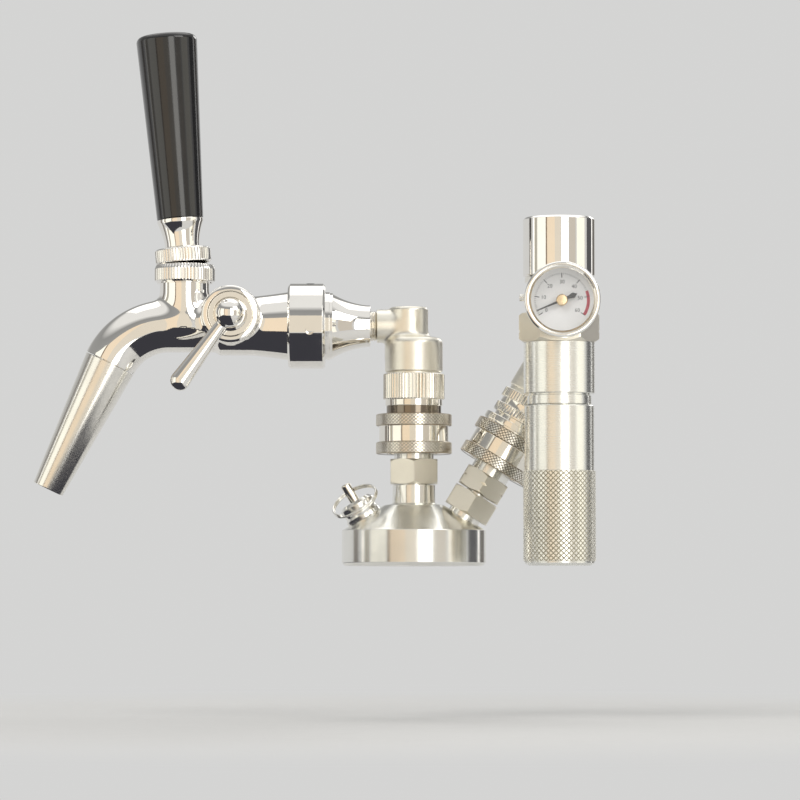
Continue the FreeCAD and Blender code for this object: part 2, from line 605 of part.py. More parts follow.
def stem_outline(hexagon, gap):
    """The ball-lock stem above a hexagon: from the hexagon's corner up, over the top and down the bore."""
    top = f"({hexagon} + post_stem)"
    seal = f"({top} - oring_drop)"
    ball = f"({hexagon} + {gap} + ball_height)"
    return [
        ("post_radius", hexagon),
        ("post_radius", f"{ball} - 2.6"),
        ("post_radius - 0.6", f"{ball} - 2"),
        ("post_radius - 0.6", f"{ball} + 2"),
        ("post_radius", f"{ball} + 2.6"),
        ("post_radius", f"{seal} - oring_wire - seat_play"),
        ("post_radius - 2 * oring_wire", f"{seal} - oring_wire - seat_play"),
        ("post_radius - 2 * oring_wire", f"{seal} + oring_wire + seat_play"),
        ("post_radius", f"{seal} + oring_wire + seat_play"),
        ("post_radius", f"{top} - 0.8"),
        ("post_radius - 0.8", top),
        ("post_bore", top),
        ("post_bore", f"{hexagon} + 2"),
        ("post_passage", f"{hexagon} + 2"),
    ]


def poppet_pieces(side, place, hexagon):
    """The poppet in a post, held open by the disconnect's pin, with its spring."""
    top = f"{hexagon} + post_stem - poppet_depth"
    turned_piece(side + "_poppet", place, [
        ("0", f"{top} - 3.5"),
        ("poppet_radius", f"{top} - 3.5"),
        ("poppet_radius", f"{top} - 1.7"),
        ("poppet_tip", f"{top} - 1"),
        ("poppet_tip", top),
        ("0", top),
    ])
    foot = f"{hexagon} + 2 + poppet_travel + 0.1" if side == "gas" else f"{hexagon} + 2"
    tube_piece(
        side + "_poppet_spring", place, "post_passage - 0.4", "poppet_radius - 0.1", foot, f"{top} - 3.5"
    )


def liquid_post():
    """The liquid post that is screwed into the cap's boss."""
    body = new_body("liquid_post", LIQUID_POST)
    corner = "hex_flats / 2 / cos(30)"
    revolve(body, "liquid_post", [
        ("post_passage", "-shank_length"),
        ("post_shank", "-shank_length"),
        ("post_shank", "0"),
        (corner + " - hex_chamfer", "0"),
        (corner, "hex_chamfer * 0.6"),
        (corner, "hex_height - hex_chamfer * 0.6"),
        (corner + " - hex_chamfer", "hex_height"),
    ] + stem_outline("hex_height", "liquid_mouth_gap"))
    mill_hexagon(body, "liquid_post", "hex_flats", "0", "hex_height")
    keep("liquid_post", body)
    seal = frame(z="@liquid_hex + hex_height + post_stem - oring_drop")
    torus_piece("liquid_post_oring", seal, "post_radius - oring_wire", "oring_wire")
    poppet_pieces("liquid", LIQUID_POST, "hex_height")


def gas_post():
    """The adapter in the cap's gas port, and the notched gas post on it."""
    adapter = new_body("gas_post_adapter", GAS_PORT)
    corner = "adapter_flats / 2 / cos(30)"
    revolve(adapter, "gas_post_adapter", [
        ("port_bore", "-port_thread"),
        ("port_thread", "-port_thread"),
        ("port_thread", "-spot_face_depth"),
        ("adapter_neck_radius", "-spot_face_depth"),
        ("adapter_neck_radius", "adapter_neck"),
        (corner + " - hex_chamfer", "adapter_neck"),
        (corner, "adapter_neck + hex_chamfer * 0.6"),
        (corner, "@adapter_top - hex_chamfer * 0.6"),
        (corner + " - hex_chamfer", "@adapter_top"),
        ("port_thread", "@adapter_top"),
        ("port_thread", "@adapter_top + adapter_spigot"),
        ("port_bore", "@adapter_top + adapter_spigot"),
    ])
    mill_hexagon(adapter, "gas_post_adapter", "adapter_flats", "adapter_neck", "adapter_hex_height")
    keep("gas_post_adapter", adapter)
    post = new_body("gas_post", GAS_POST)
    corner = "gas_hex_flats / 2 / cos(30)"
    revolve(post, "gas_post", [
        ("port_thread + seat_play", "0"),
        (corner + " - hex_chamfer", "0"),
        (corner, "hex_chamfer * 0.6"),
        (corner, "gas_hex_height / 2 - gas_notch"),
        (corner + " - gas_notch", "gas_hex_height / 2"),
        (corner, "gas_hex_height / 2 + gas_notch"),
        (corner, "gas_hex_height - hex_chamfer * 0.6"),
        (corner + " - hex_chamfer", "gas_hex_height"),
    ] + stem_outline("gas_hex_height", "gas_mouth_gap") + [
        ("post_passage", "adapter_spigot - adapter_gap + seat_play"),
        ("port_thread + seat_play", "adapter_spigot - adapter_gap + seat_play"),
    ])
    mill_hexagon(post, "gas_post", "gas_hex_flats", "0", "gas_hex_height")
    keep("gas_post", post)
    seal = GAS_POST + " * " + frame(z="gas_hex_height + post_stem - oring_drop")
    torus_piece("gas_post_oring", seal, "post_radius - oring_wire", "oring_wire")
    poppet_pieces("gas", GAS_POST, "gas_hex_height")


def relief_valve():
    """The relief valve: body, pull pin, spring and split ring."""
    turned_piece("relief_body", RELIEF_PORT, [
        ("port_bore - 0.5", "-port_thread"),
        ("port_thread", "-port_thread"),
        ("port_thread", "-spot_face_depth"),
        ("relief_radius", "-spot_face_depth"),
        ("relief_radius", "relief_height - 1.4"),
        ("relief_radius - 1.4", "relief_height"),
        ("relief_guide", "relief_height"),
        ("relief_guide", "relief_height - 1.5"),
        ("relief_bore", "relief_height - 1.5"),
        ("relief_bore", "-3"),
        ("port_bore - 0.5", "-3"),
    ])
    pin = new_body("relief_pin", RELIEF_PORT)
    revolve(pin, "relief_pin", [
        ("0", "-2.9"),
        ("relief_bore - running_gap", "-2.9"),
        ("relief_bore - running_gap", "-1.2"),
        ("relief_pin - 0.6", "-1.2"),
        ("relief_pin - 0.6", "relief_height - 1.5"),
        ("relief_pin", "relief_height - 1.5"),
        ("relief_pin", "relief_pin_top - 0.9", "0.9"),
        ("relief_pin - 0.9", "relief_pin_top"),
        ("0", "relief_pin_top"),
    ])
    drill(pin, "relief_cross_hole", "relief_hole", "3 * relief_pin", frame(
        "-1.5 * relief_pin", "0", "relief_hole_height", SIDEWAYS, "90"))
    keep("relief_pin", pin)
    tube_piece(
        "relief_spring", RELIEF_PORT, "relief_pin - 0.4", "relief_bore - free_gap",
        "-1.1", "relief_height - 1.5 - relief_travel - 0.1",
    )
    hung = RELIEF_PORT + " * " + frame(z="relief_hole_height", axis="1; 0; 0", turn="ring_droop")
    turns = []
    for index, rise in enumerate(("-ring_step / 2", "ring_step / 2"), start=1):
        coil = doc.addObject("Part::Torus", f"relief_ring_turn_{index}")
        bind(coil, "Radius1", "ring_radius")
        bind(coil, "Radius2", "ring_wire")
        bind(coil, "Placement", hung + " * " + frame("0", "-ring_radius", rise))
        turns.append(coil)
    ring = doc.addObject("Part::MultiFuse", "relief_ring_turns")
    ring.Shapes = turns
    keep("relief_ring", ring)


def locking_sleeve(side, place, length, collar):
    """The spring-loaded sleeve with its two knurled rings, and a plain collar on the gas side."""
    second = "(sleeve_length - knurl_height)"
    outline = [
        ("socket_radius + free_gap", "0"),
        ("sleeve_radius - 0.4", "0"),
        ("sleeve_radius", "0.4"),
        ("sleeve_radius", "knurl_height - 0.4"),
        ("sleeve_radius - 0.4", "knurl_height"),
        ("sleeve_waist", "knurl_height"),
        ("sleeve_waist", second),
        ("sleeve_radius - 0.4", second),
        ("sleeve_radius", second + " + 0.4"),
        ("sleeve_radius", "sleeve_length - 0.4"),
        ("sleeve_radius - 0.4", "sleeve_length"),
    ]
    if collar:
        outline += [
            ("sleeve_waist - 0.5", "sleeve_length"),
            ("sleeve_waist - 0.5", f"{length} - {collar}"),
            ("sleeve_waist", f"{length} - {collar}"),
            ("sleeve_waist", length),
        ]
    outline += [
        ("sleeve_spring_room", length),
        ("sleeve_spring_room", "ball_height + 1.8"),
        ("socket_radius + free_gap", "ball_height + 1.8"),
        ("socket_radius + free_gap", "ball_height - 1.2"),
        ("socket_radius + 1.4", "ball_height - 1.8"),
        ("socket_radius + 1.4", "ball_height - 3.8"),
        ("socket_radius + free_gap", "ball_height - 4.4"),
    ]
    turned_piece(side + "_sleeve", place, outline)


def lock_balls(side, place):
    """The ring of locking balls, one group of separate balls."""
    balls = []
    for index in range(int(value_of("ball_count"))):
        ball = doc.addObject("Part::Sphere", f"{side}_lock_ball_{index + 1}")
        bind(ball, "Radius", "ball_radius")
        round_place = frame(turn=f"360 / ball_count * {index}")
        reach = frame("socket_radius - ball_radius", "0", "ball_height")
        bind(ball, "Placement", place + " * " + round_place + " * " + reach)
        balls.append(ball)
    group = doc.addObject("Part::Compound", side + "_lock_ball_ring")
    group.Links = balls
    keep(side + "_lock_balls", group)


def socket_piece(side, place, gap, outer):
    """The socket that slips over a post; outer is its outline above the tube."""
    stem_top = f"(post_stem - {gap})"
    body = new_body(side + "_socket", place)
    stop = "(sleeve_length - 0.8)"
    revolve(body, side + "_socket", [
        ("post_radius + running_gap", "socket_start"),
        ("socket_radius", "socket_start"),
        ("socket_radius", stop),
        ("sleeve_spring_room - free_gap", stop),
        ("sleeve_spring_room - free_gap", "sleeve_length"),
        ("socket_radius", "sleeve_length"),
    ] + outer + [
        ("guide_bore", "@socket_top"),
        ("guide_bore", "guide_floor"),
        ("post_bore", "guide_floor"),
        ("post_bore", f"{stem_top} + 1"),
        ("post_radius + running_gap", f"{stem_top} + 1"),
    ])
    hole = drill(
        body, side + "_ball_hole", "ball_radius + 0.1", "socket_radius + 1",
        frame(z="ball_height", axis=SIDEWAYS, turn="90"),
    )
    repeat_round(body, side + "_ball_holes", hole, "ball_count")
    return body


def pin_piece(side, place, gap):
    """The pin that presses the poppet open, with a drilled flange."""
    body = new_body(side + "_pin", place)
    revolve(body, side + "_pin", [
        ("0", f"post_stem - {gap} - poppet_depth + 0.05"),
        ("pin_radius", f"post_stem - {gap} - poppet_depth + 0.05"),
        ("pin_radius", "guide_floor + seat_play"),
        ("guide_bore - seat_play", "guide_floor + seat_play"),
        ("guide_bore - seat_play", "guide_floor + pin_flange"),
        ("0", "guide_floor + pin_flange"),
    ])
    hole = drill(body, side + "_flow_hole", "0.9", "pin_flange + 1", frame("post_bore - 1.6", "0", "guide_floor - 0.5"))
    repeat_round(body, side + "_flow_holes", hole, "4")
    keep(side + "_pin", body)


def elbow_piece(side, place, height, port_axis, port_turn, shift, tail, reach, entry):
    """The elbow casting on top of a disconnect, with its side port and tail."""
    body = new_body(side + "_elbow", place)
    bell = "(@socket_top + elbow_neck_height)"
    shoulder = f"({bell} + bell_height)"
    revolve(body, side + "_elbow", [
        ("0", "guide_floor + pin_flange + seat_play"),
        ("guide_bore - seat_play", "guide_floor + pin_flange + seat_play"),
        ("guide_bore - seat_play", "@socket_top"),
        ("elbow_neck", "@socket_top"),
        ("elbow_neck", bell),
        ("bell_radius - 0.5", bell),
        ("bell_radius", f"{bell} + 0.5"),
        ("bell_radius", f"{shoulder} - 1.5", "2.5"),
        ("bell_radius - 1.2", shoulder),
        ("block_radius - block_shift", f"{shoulder} + 0.8"),
        ("0", f"{shoulder} + 0.8"),
    ])
    toward_port = frame(shift[0], shift[1], f"{shoulder} - 2")
    rise = f"block_top - port_height + {height} - {shoulder} + 2"
    add_cylinder(body, side + "_elbow_head", "block_radius", rise, toward_port)
    port = frame(z=height, axis=port_axis, turn=port_turn)
    add_cylinder(body, side + "_elbow_port", "elbow_port_radius", "elbow_port_reach", port)
    add_cylinder(body, side + "_elbow_tail", "elbow_tail_radius", "elbow_tail_reach", port)
    add_cylinder(body, side + "_elbow_spigot", tail, reach + " + " + entry, port)
    drill(body, side + "_elbow_side_bore", "elbow_bore", reach + " + tail_entry + 1", port)
    drill(body, side + "_elbow_bore", "elbow_bore", f"{height} - guide_floor", frame(z="guide_floor"))
    keep(side + "_elbow", body)


def liquid_disconnect():
    """The disconnect that locks on the liquid post and carries the tap."""
    PLACES["socket_top"] = "(socket_step + socket_band_height + flute_height)"
    locking_sleeve("liquid", LIQUID_MOUTH, "sleeve_length", None)
    tube_piece(
        "liquid_sleeve_spring", LIQUID_MOUTH, "socket_radius + 0.3", "sleeve_spring_room - 0.3",
        "ball_height + 1.8", "sleeve_length - 0.8",
    )
    band = "(socket_step + socket_band_height)"
    body = socket_piece("liquid", LIQUID_MOUTH, "liquid_mouth_gap", [
        ("socket_radius", "socket_step"),
        ("socket_band_radius", "socket_step"),
        ("socket_band_radius", band),
        ("flute_radius - 0.4", band),
        ("flute_radius", band + " + 0.4"),
        ("flute_radius", "@socket_top - 0.4"),
        ("flute_radius - 0.4", "@socket_top"),
    ])
    cut_flutes(body, "liquid_socket", "flute_radius", band + " - 0.5", "flute_height + 1", "flute_count")
    keep("liquid_socket", body)
    lock_balls("liquid", LIQUID_MOUTH)
    pin_piece("liquid", LIQUID_MOUTH, "liquid_mouth_gap")
    elbow_piece(
        "liquid", LIQUID_MOUTH, "port_height", SIDEWAYS, "-90", ("-block_shift", "0"),
        "elbow_tail_radius", "elbow_tail_reach", "tail_entry",
    )


def gas_disconnect():
    """The disconnect that locks on the gas post and carries the regulator."""
    lower = "(gas_step + gas_flute_height)"
    upper = "(gas_step + gas_flute_height + gas_groove_height)"
    PLACES["socket_top"] = "(gas_step + 2 * gas_flute_height + gas_groove_height)"
    locking_sleeve("gas", GAS_MOUTH, "gas_sleeve_length", "gas_collar_height")
    tube_piece(
        "gas_sleeve_spring", GAS_MOUTH, "socket_radius + 0.3", "sleeve_spring_room - 0.3",
        "ball_height + 1.8", "sleeve_length - 0.8 - gas_sleeve_travel - 0.1",
    )
    body = socket_piece("gas", GAS_MOUTH, "gas_mouth_gap", [
        ("socket_radius", "gas_step"),
        ("flute_radius", "gas_step"),
        ("flute_radius", lower),
        ("socket_band_radius", lower),
        ("socket_band_radius", upper),
        ("flute_radius", upper),
        ("flute_radius", "@socket_top"),
    ])
    cut_flutes(body, "gas_socket", "flute_radius", "gas_step - 0.5", "@socket_top - gas_step + 1", "flute_count")
    keep("gas_socket", body)
    lock_balls("gas", GAS_MOUTH)
    pin_piece("gas", GAS_MOUTH, "gas_mouth_gap")
    elbow_piece(
        "gas", GAS_MOUTH, "gas_port_height", "1; 0; 0", "90", ("0", "-block_shift"),
        "gas_tail_radius", "regulator_reach - barrel_radius", "tail_entry",
    )


def tap_rear():
    """The shank adapter, the washer and the coupling nut that hold the tap on the elbow."""
    turned_piece("shank_adapter", TAP, [
        ("elbow_tail_radius + seat_play", "elbow_tail_reach"),
        ("adapter_small_radius", "elbow_tail_reach"),
        ("adapter_small_radius", "elbow_tail_reach + 1.5", "-adapter_flare_curve"),
        ("adapter_flare_radius", "adapter_flare_end"),
        ("adapter_flare_radius + 0.4", "adapter_flare_end"),
        ("adapter_flare_radius + 0.4", "adapter_flare_end + 1.3"),
        ("adapter_flare_radius + 0.8", "adapter_flare_end + 1.3"),
        ("adapter_flare_radius + 0.8", "@nut_start"),
        ("shank_thread_radius", "@nut_start"),
        ("shank_thread_radius", "@shank_face"),
        ("inlet_bore - 1", "@shank_face"),
        ("inlet_bore - 1", "elbow_tail_reach + tail_entry + seat_play"),
        ("elbow_tail_radius + seat_play", "elbow_tail_reach + tail_entry + seat_play"),
    ])
    tube_piece(
        "tap_washer", TAP, "inlet_bore", "tap_collar_radius - 0.5",
        "@shank_face + seat_play", "@washer_face - seat_play",
    )
    nut = new_body("coupling_nut", TAP)
    revolve(nut, "coupling_nut", [
        ("shank_thread_radius + free_gap", "@nut_start"),
        ("nut_radius - nut_chamfer", "@nut_start"),
        ("nut_radius", "@nut_start + nut_chamfer"),
        ("nut_radius", "@nut_end - nut_chamfer"),
        ("nut_radius - nut_chamfer", "@nut_end"),
        ("tap_collar_radius + seat_play", "@nut_end"),
        ("tap_collar_radius + seat_play", "@nut_end - nut_lip"),
        ("shank_thread_radius + free_gap", "@nut_end - nut_lip"),
    ])
    first = frame(turn="spanner_hole_turn") + " * " + frame(
        z="@nut_start + spanner_hole_place", axis="1; 0; 0", turn="90")
    hole = drill(nut, "spanner_hole", "spanner_hole", "nut_radius + 1", first)
    repeat_round(nut, "spanner_holes", hole, "spanner_hole_count")
    keep("coupling_nut", nut)


def blend_edges(body, name, radius):
    """Round off the curved edges where one form of a casting runs into another."""
    doc.recompute()
    tip = body.Tip
    meets = [
        f"Edge{index + 1}" for index, edge in enumerate(tip.Shape.Edges)
        if edge.Curve.TypeId == "Part::GeomBSplineCurve"
    ]
    blend = body.newObject("PartDesign::Fillet", name)
    blend.Base = (tip, meets)
    bind(blend, "Radius", radius)
    return blend


def tap_casting():
    """The polished tap: barrel, bend, bonnet neck and flow control boss, with the bores inside."""
    body = new_body("tap_body", TAP)
    revolve(body, "tap_body", [
        ("0", "@washer_face"),
        ("shank_thread_radius", "@washer_face"),
        ("shank_thread_radius", "@washer_face + tap_flange"),
        ("tap_collar_radius", "@washer_face + tap_flange"),
        ("tap_collar_radius", "@nut_end + 0.5", "-tap_waist_curve"),
        ("tap_waist_radius", "@tap_waist_place"),
        ("tap_waist_radius", "@tap_shoulder"),
        ("tap_tube_radius", "@tap_shoulder + 3"),
        ("tap_tube_radius", "@bend_start"),
        ("0", "@bend_start"),
    ])
    bend = body.newObject("PartDesign::AdditiveTorus", "tap_bend")
    bind(bend, "Radius1", "bend_radius")
    bind(bend, "Radius2", "tap_tube_radius")
    bind(bend, "Angle3", "bend_turn")
    turn = frame("-bend_radius", "0", "@bend_start", "1; 0; 0", "90")
    bind(bend, "Placement", turn)
    add_cylinder(body, "bonnet_neck", "tap_neck_radius", "tap_neck_height", UP_IN_TAP)
    blend_edges(body, "neck_root", "neck_blend")
    flare = body.newObject("PartDesign::AdditiveCone", "flow_boss_flare")
    bind(flare, "Radius1", "flow_boss_root")
    bind(flare, "Radius2", "flow_boss_radius")
    bind(flare, "Height", "flow_boss_flare")
    bind(flare, "Placement", FLOW_IN_TAP)
    rim = FLOW_IN_TAP + " * " + frame(z="flow_boss_flare")
    add_cylinder(body, "flow_boss", "flow_boss_radius", "flow_boss_reach - flow_boss_flare", rim)
    add_cylinder(body, "bonnet_spigot", "bonnet_thread", "tap_neck_height + 4", UP_IN_TAP)
    drill(body, "inlet", "inlet_bore", "@chamber_start", frame())
    drill(body, "shuttle_chamber", "chamber_bore", "@bend_start - @chamber_start", frame(z="@chamber_start"))
    waterway = body.newObject("PartDesign::SubtractiveTorus", "bend_bore")
    bind(waterway, "Radius1", "bend_radius")
    bind(waterway, "Radius2", "tap_bore")
    bind(waterway, "Angle3", "bend_turn")
    bind(waterway, "Placement", turn)
    drill(
        body, "nozzle_thread", "nozzle_spigot + seat_play", "nozzle_entry + 1",
        BEND_END + " * " + frame(z="-nozzle_entry - seat_play"),
    )
    drill(
        body, "ball_chamber", "ball_room", "tap_neck_height + 5",
        UP_IN_TAP + " * " + frame(z="2"),
    )
    drill(
        body, "plug_bore", "flow_plug + running_gap", "flow_boss_reach + flow_plug_depth + 1",
        FLOW_IN_TAP + " * " + frame(z="-flow_plug_depth - free_gap"),
    )
    keep("tap_body", body)


def nozzle():
    """The long tapered nozzle that is screwed into the tap's bend."""
    turned_piece("nozzle", NOZZLE, [
        ("tap_bore", "-nozzle_entry"),
        ("nozzle_spigot", "-nozzle_entry"),
        ("nozzle_spigot", "joint_line"),
        ("nozzle_root", "joint_line"),
        ("nozzle_tip", "nozzle_length"),
        ("tap_bore", "nozzle_length"),
    ])


def bonnet_and_lever():
    """The bonnet nut, and the lever with its collar, ferrule and handle."""
    bonnet = new_body("bonnet_nut", BONNET)
    foot = "(tap_neck_height + seat_play)"
    top = "(tap_neck_height + bonnet_height)"
    revolve(bonnet, "bonnet_nut", [
        ("bonnet_thread + seat_play", foot),
        ("bonnet_radius - 0.9", foot),
        ("bonnet_radius - 0.9", foot + " + 0.7"),
        ("bonnet_radius", foot + " + 1.3"),
        ("bonnet_radius", top + " - bonnet_chamfer * 1.6"),
        ("bonnet_radius - bonnet_chamfer", top),
        ("bonnet_mouth", top),
        ("bonnet_mouth", top + " - bonnet_cover"),
        ("bonnet_thread + seat_play", top + " - bonnet_cover"),
    ])
    cut_flutes(
        bonnet, "bonnet_nut", "bonnet_radius", foot + " + 0.9",
        "bonnet_height - bonnet_chamfer * 1.6 - 0.9", "bonnet_flute_count", "0.5",
    )
    keep("bonnet_nut", bonnet)
    turned_piece("lever_stem", LEVER, [
        ("0", "-tail_drop - tail_ball", "tail_ball"),
        ("tail_radius", "-tail_drop + sqrt(tail_ball^2 - tail_radius^2)"),
        ("tail_radius", "-sqrt(lever_ball^2 - tail_radius^2)", "lever_ball"),
        ("lever_stem_radius", "sqrt(lever_ball^2 - lever_stem_radius^2)"),
        ("lever_stem_radius", "lever_stem_top"),
        ("0", "lever_stem_top"),
    ])
    collar = new_body("lever_collar", LEVER)
    hollow = "collar_hollow"
    revolve(collar, "lever_collar", [
        ("lever_stem_radius + seat_play", "collar_roof"),
        (f"sqrt({hollow}^2 - collar_roof^2)", "collar_roof", "-collar_hollow"),
        (f"sqrt({hollow}^2 - collar_bottom^2)", "collar_bottom"),
        ("collar_radius", "collar_bottom"),
        ("collar_radius", "@collar_edge - 0.7"),
        ("collar_radius - 0.7", "@collar_edge"),
        ("lever_stem_radius + seat_play", "@collar_edge"),
    ])
    cut_flutes(
        collar, "lever_collar", "collar_radius", "collar_bottom + 1.6",
        "collar_height - 2.4", "bonnet_flute_count", "0.45",
    )
    keep("lever_collar", collar)
    turned_piece("ferrule", LEVER, [
        ("lever_stem_radius + seat_play", "@collar_edge + seat_play"),
        ("ferrule_foot - 1", "@collar_edge + seat_play"),
        ("ferrule_foot - 1", "@ferrule_bottom"),
        ("ferrule_foot", "@ferrule_bottom"),
        ("ferrule_foot", "@ferrule_bottom + 1.5", "-30"),
        ("ferrule_head", "@ferrule_top - 1.2"),
        ("ferrule_head", "@ferrule_top"),
        ("lever_stem_radius + seat_play", "@ferrule_top"),
    ])
    turned_piece("tap_handle", LEVER, [
        ("lever_stem_radius + seat_play", "@ferrule_top + seat_play"),
        ("ferrule_head", "@ferrule_top + seat_play"),
        ("handle_top_radius", "@handle_top - handle_round", "handle_round"),
        ("handle_top_radius - handle_round", "@handle_top"),
        ("0", "@handle_top"),
        ("0", "lever_stem_top + seat_play"),
        ("lever_stem_radius + seat_play", "lever_stem_top + seat_play"),
    ])


def shuttle_pieces():
    """The shuttle that the lever's tail moves, with its seal ring."""
    body = new_body("shuttle", TAP)
    head = "(@shuttle_front - 1.4)"
    revolve(body, "shuttle", [
        ("0", "@shuttle_start"),
        ("shuttle_guide", "@shuttle_start"),
        ("shuttle_guide", "@shuttle_start + 2"),
        ("shuttle_body", "@shuttle_start + 2"),
        ("shuttle_body", f"{head} - 1.8"),
        ("shuttle_head", f"{head} - 1.8"),
        ("shuttle_head", head),
        ("shuttle_head - 2 * seal_wire", head),
        ("shuttle_head - 2 * seal_wire", "@shuttle_front"),
        ("0", "@shuttle_front"),
    ])
    slot = body.newObject("PartDesign::SubtractiveBox", "tail_slot")
    bind(slot, "Length", "shuttle_body")
    bind(slot, "Width", "shuttle_slot")
    bind(slot, "Height", "shuttle_slot")
    middle = "@bonnet_reach - tail_drop * sin(lever_lean) - shuttle_slot / 2"
    bind(slot, "Placement", frame("2.2", "-shuttle_slot / 2", middle))
    keep("shuttle", body)
    seal = TAP + " * " + frame(z=f"{head} + seal_wire + seat_play")
    torus_piece("shuttle_seal", seal, "shuttle_head - seal_wire", "seal_wire")


def flow_control():
    """The flow control: ring nut, plug with its seal, and lever."""
    turned_piece("flow_ring", FLOW, [
        ("flow_stem + free_gap", "flow_boss_reach + seat_play"),
        ("flow_boss_radius", "flow_boss_reach + seat_play"),
        ("flow_ring_radius", "flow_boss_reach + 0.7"),
        ("flow_ring_radius", "flow_boss_reach + flow_ring_height - flow_ring_round", "flow_ring_round"),
        ("flow_ring_radius - flow_ring_round", "flow_boss_reach + flow_ring_height"),
        ("flow_ring_radius - 2.4", "flow_boss_reach + flow_ring_height - 0.4"),
        ("flow_ring_radius - 3", "flow_boss_reach + flow_ring_height - 2"),
        ("flow_stem + 2.2", "flow_boss_reach + flow_ring_height - 2"),
        ("flow_stem + 2.2", "flow_boss_reach + flow_ring_height - 1.7"),
        ("flow_stem + free_gap", "flow_boss_reach + flow_ring_height - 1.7"),
    ])
    plug = new_body("flow_plug", FLOW)
    seal = "(flow_boss_reach - 2.6)"
    revolve(plug, "flow_plug", [
        ("0", "-flow_plug_depth"),
        ("flow_plug", "-flow_plug_depth"),
        ("flow_plug", seal + " - 0.6"),
        ("flow_plug - 1.1", seal + " - 0.6"),
        ("flow_plug - 1.1", seal + " + 0.6"),
        ("flow_plug", seal + " + 0.6"),
        ("flow_plug", "flow_boss_reach - free_gap"),
        ("flow_stem", "flow_boss_reach - free_gap"),
        ("flow_stem", "flow_ball_reach"),
        ("0", "flow_ball_reach"),
    ])
    passage = plug.newObject("PartDesign::SubtractiveBox", "plug_passage")
    bind(passage, "Length", "3 * flow_plug")
    bind(passage, "Width", "2 * flow_plug")
    bind(passage, "Height", "flow_plug_depth + chamber_bore")
    bind(passage, "Placement", frame("-1.5 * flow_plug", "-2 * flow_plug", "-flow_plug_depth"))
    keep("flow_plug", plug)
    torus_piece("flow_seal", FLOW + " * " + frame(z=seal), "flow_plug - 0.55", "0.5")
    lever = new_body("flow_lever", FLOW_ARM)
    hub = lever.newObject("PartDesign::AdditiveSphere", "flow_lever_hub")
    bind(hub, "Radius", "flow_ball")
    outline = new_sketch(lever, "flow_lever_outline", "XY_Plane", frame(z="-flow_lever_thickness / 2"))
    end = "(flow_lever_length - flow_lever_tip)"
    draw_outline(outline, [
        ("0", "-flow_lever_root"),
        (end, "-flow_lever_tip", "flow_lever_tip * 1.0001"),
        (end, "flow_lever_tip"),
        ("0", "flow_lever_root"),
    ])
    arm = lever.newObject("PartDesign::Pad", "flow_lever_arm")
    arm.Profile = outline
    bind(arm, "Length", "flow_lever_thickness")
    drill(
        lever, "flow_lever_socket", "flow_stem + seat_play", "flow_ball + seat_play",
        frame(z="-flow_ball"),
    )
    keep("flow_lever", lever)


def regulator_barrel():
    """The regulator's barrel, with the gas port at the back and the cartridge's seat below."""
    body = new_body("regulator_barrel", REGULATOR)
    ring_top = "(-barrel_bottom - barrel_groove)"
    ring_bottom = f"({ring_top} - ring_neck_height)"
    spigot = f"({ring_bottom} - sleeve_thread_length)"
    neck_foot = "(@cartridge_top - cartridge_neck_height)"
    shoulder_foot = f"({neck_foot} - cartridge_shoulder)"
    revolve(body, "regulator_barrel", [
        ("regulator_chamber", "barrel_top"),
        ("barrel_radius", "barrel_top"),
        ("barrel_radius", "-barrel_bottom"),
        ("ring_neck_radius - 0.55", "-barrel_bottom"),
        ("ring_neck_radius - 0.55", ring_top),
        ("ring_neck_radius", ring_top),
        ("ring_neck_radius", ring_bottom),
        ("sleeve_thread_radius", ring_bottom),
        ("sleeve_thread_radius", spigot),
        ("barrel_bore", spigot),
        ("barrel_bore", f"{shoulder_foot} + 0.5"),
        ("neck_bore", f"{neck_foot} + 0.5"),
        ("neck_bore", "@pin_seat"),
        ("1.55", "@pin_seat"),
        ("1.55", "-chamber_floor"),
        ("regulator_chamber", "-chamber_floor"),
    ])
    drill(
        body, "gas_inlet", "gas_tail_radius + running_gap", "barrel_radius",
        frame(axis="1; 0; 0", turn="-90"),
    )
    keep("regulator_barrel", body)
    turned_piece("piercing_pin", REGULATOR, [
        ("0", "@cartridge_top - 1.6"),
        ("1.1", "@cartridge_top + 0.4"),
        ("1.5", "@pin_seat"),
        ("1.5", "-chamber_floor"),
        ("2.6", "-chamber_floor + seat_play"),
        ("2.6", "-chamber_floor + 0.9"),
        ("0", "-chamber_floor + 0.9"),
    ])
    tube_piece(
        "cartridge_seal", REGULATOR, "1.8", "neck_bore - 0.1",
        "@cartridge_top + seat_play", "@pin_seat - seat_play",
    )


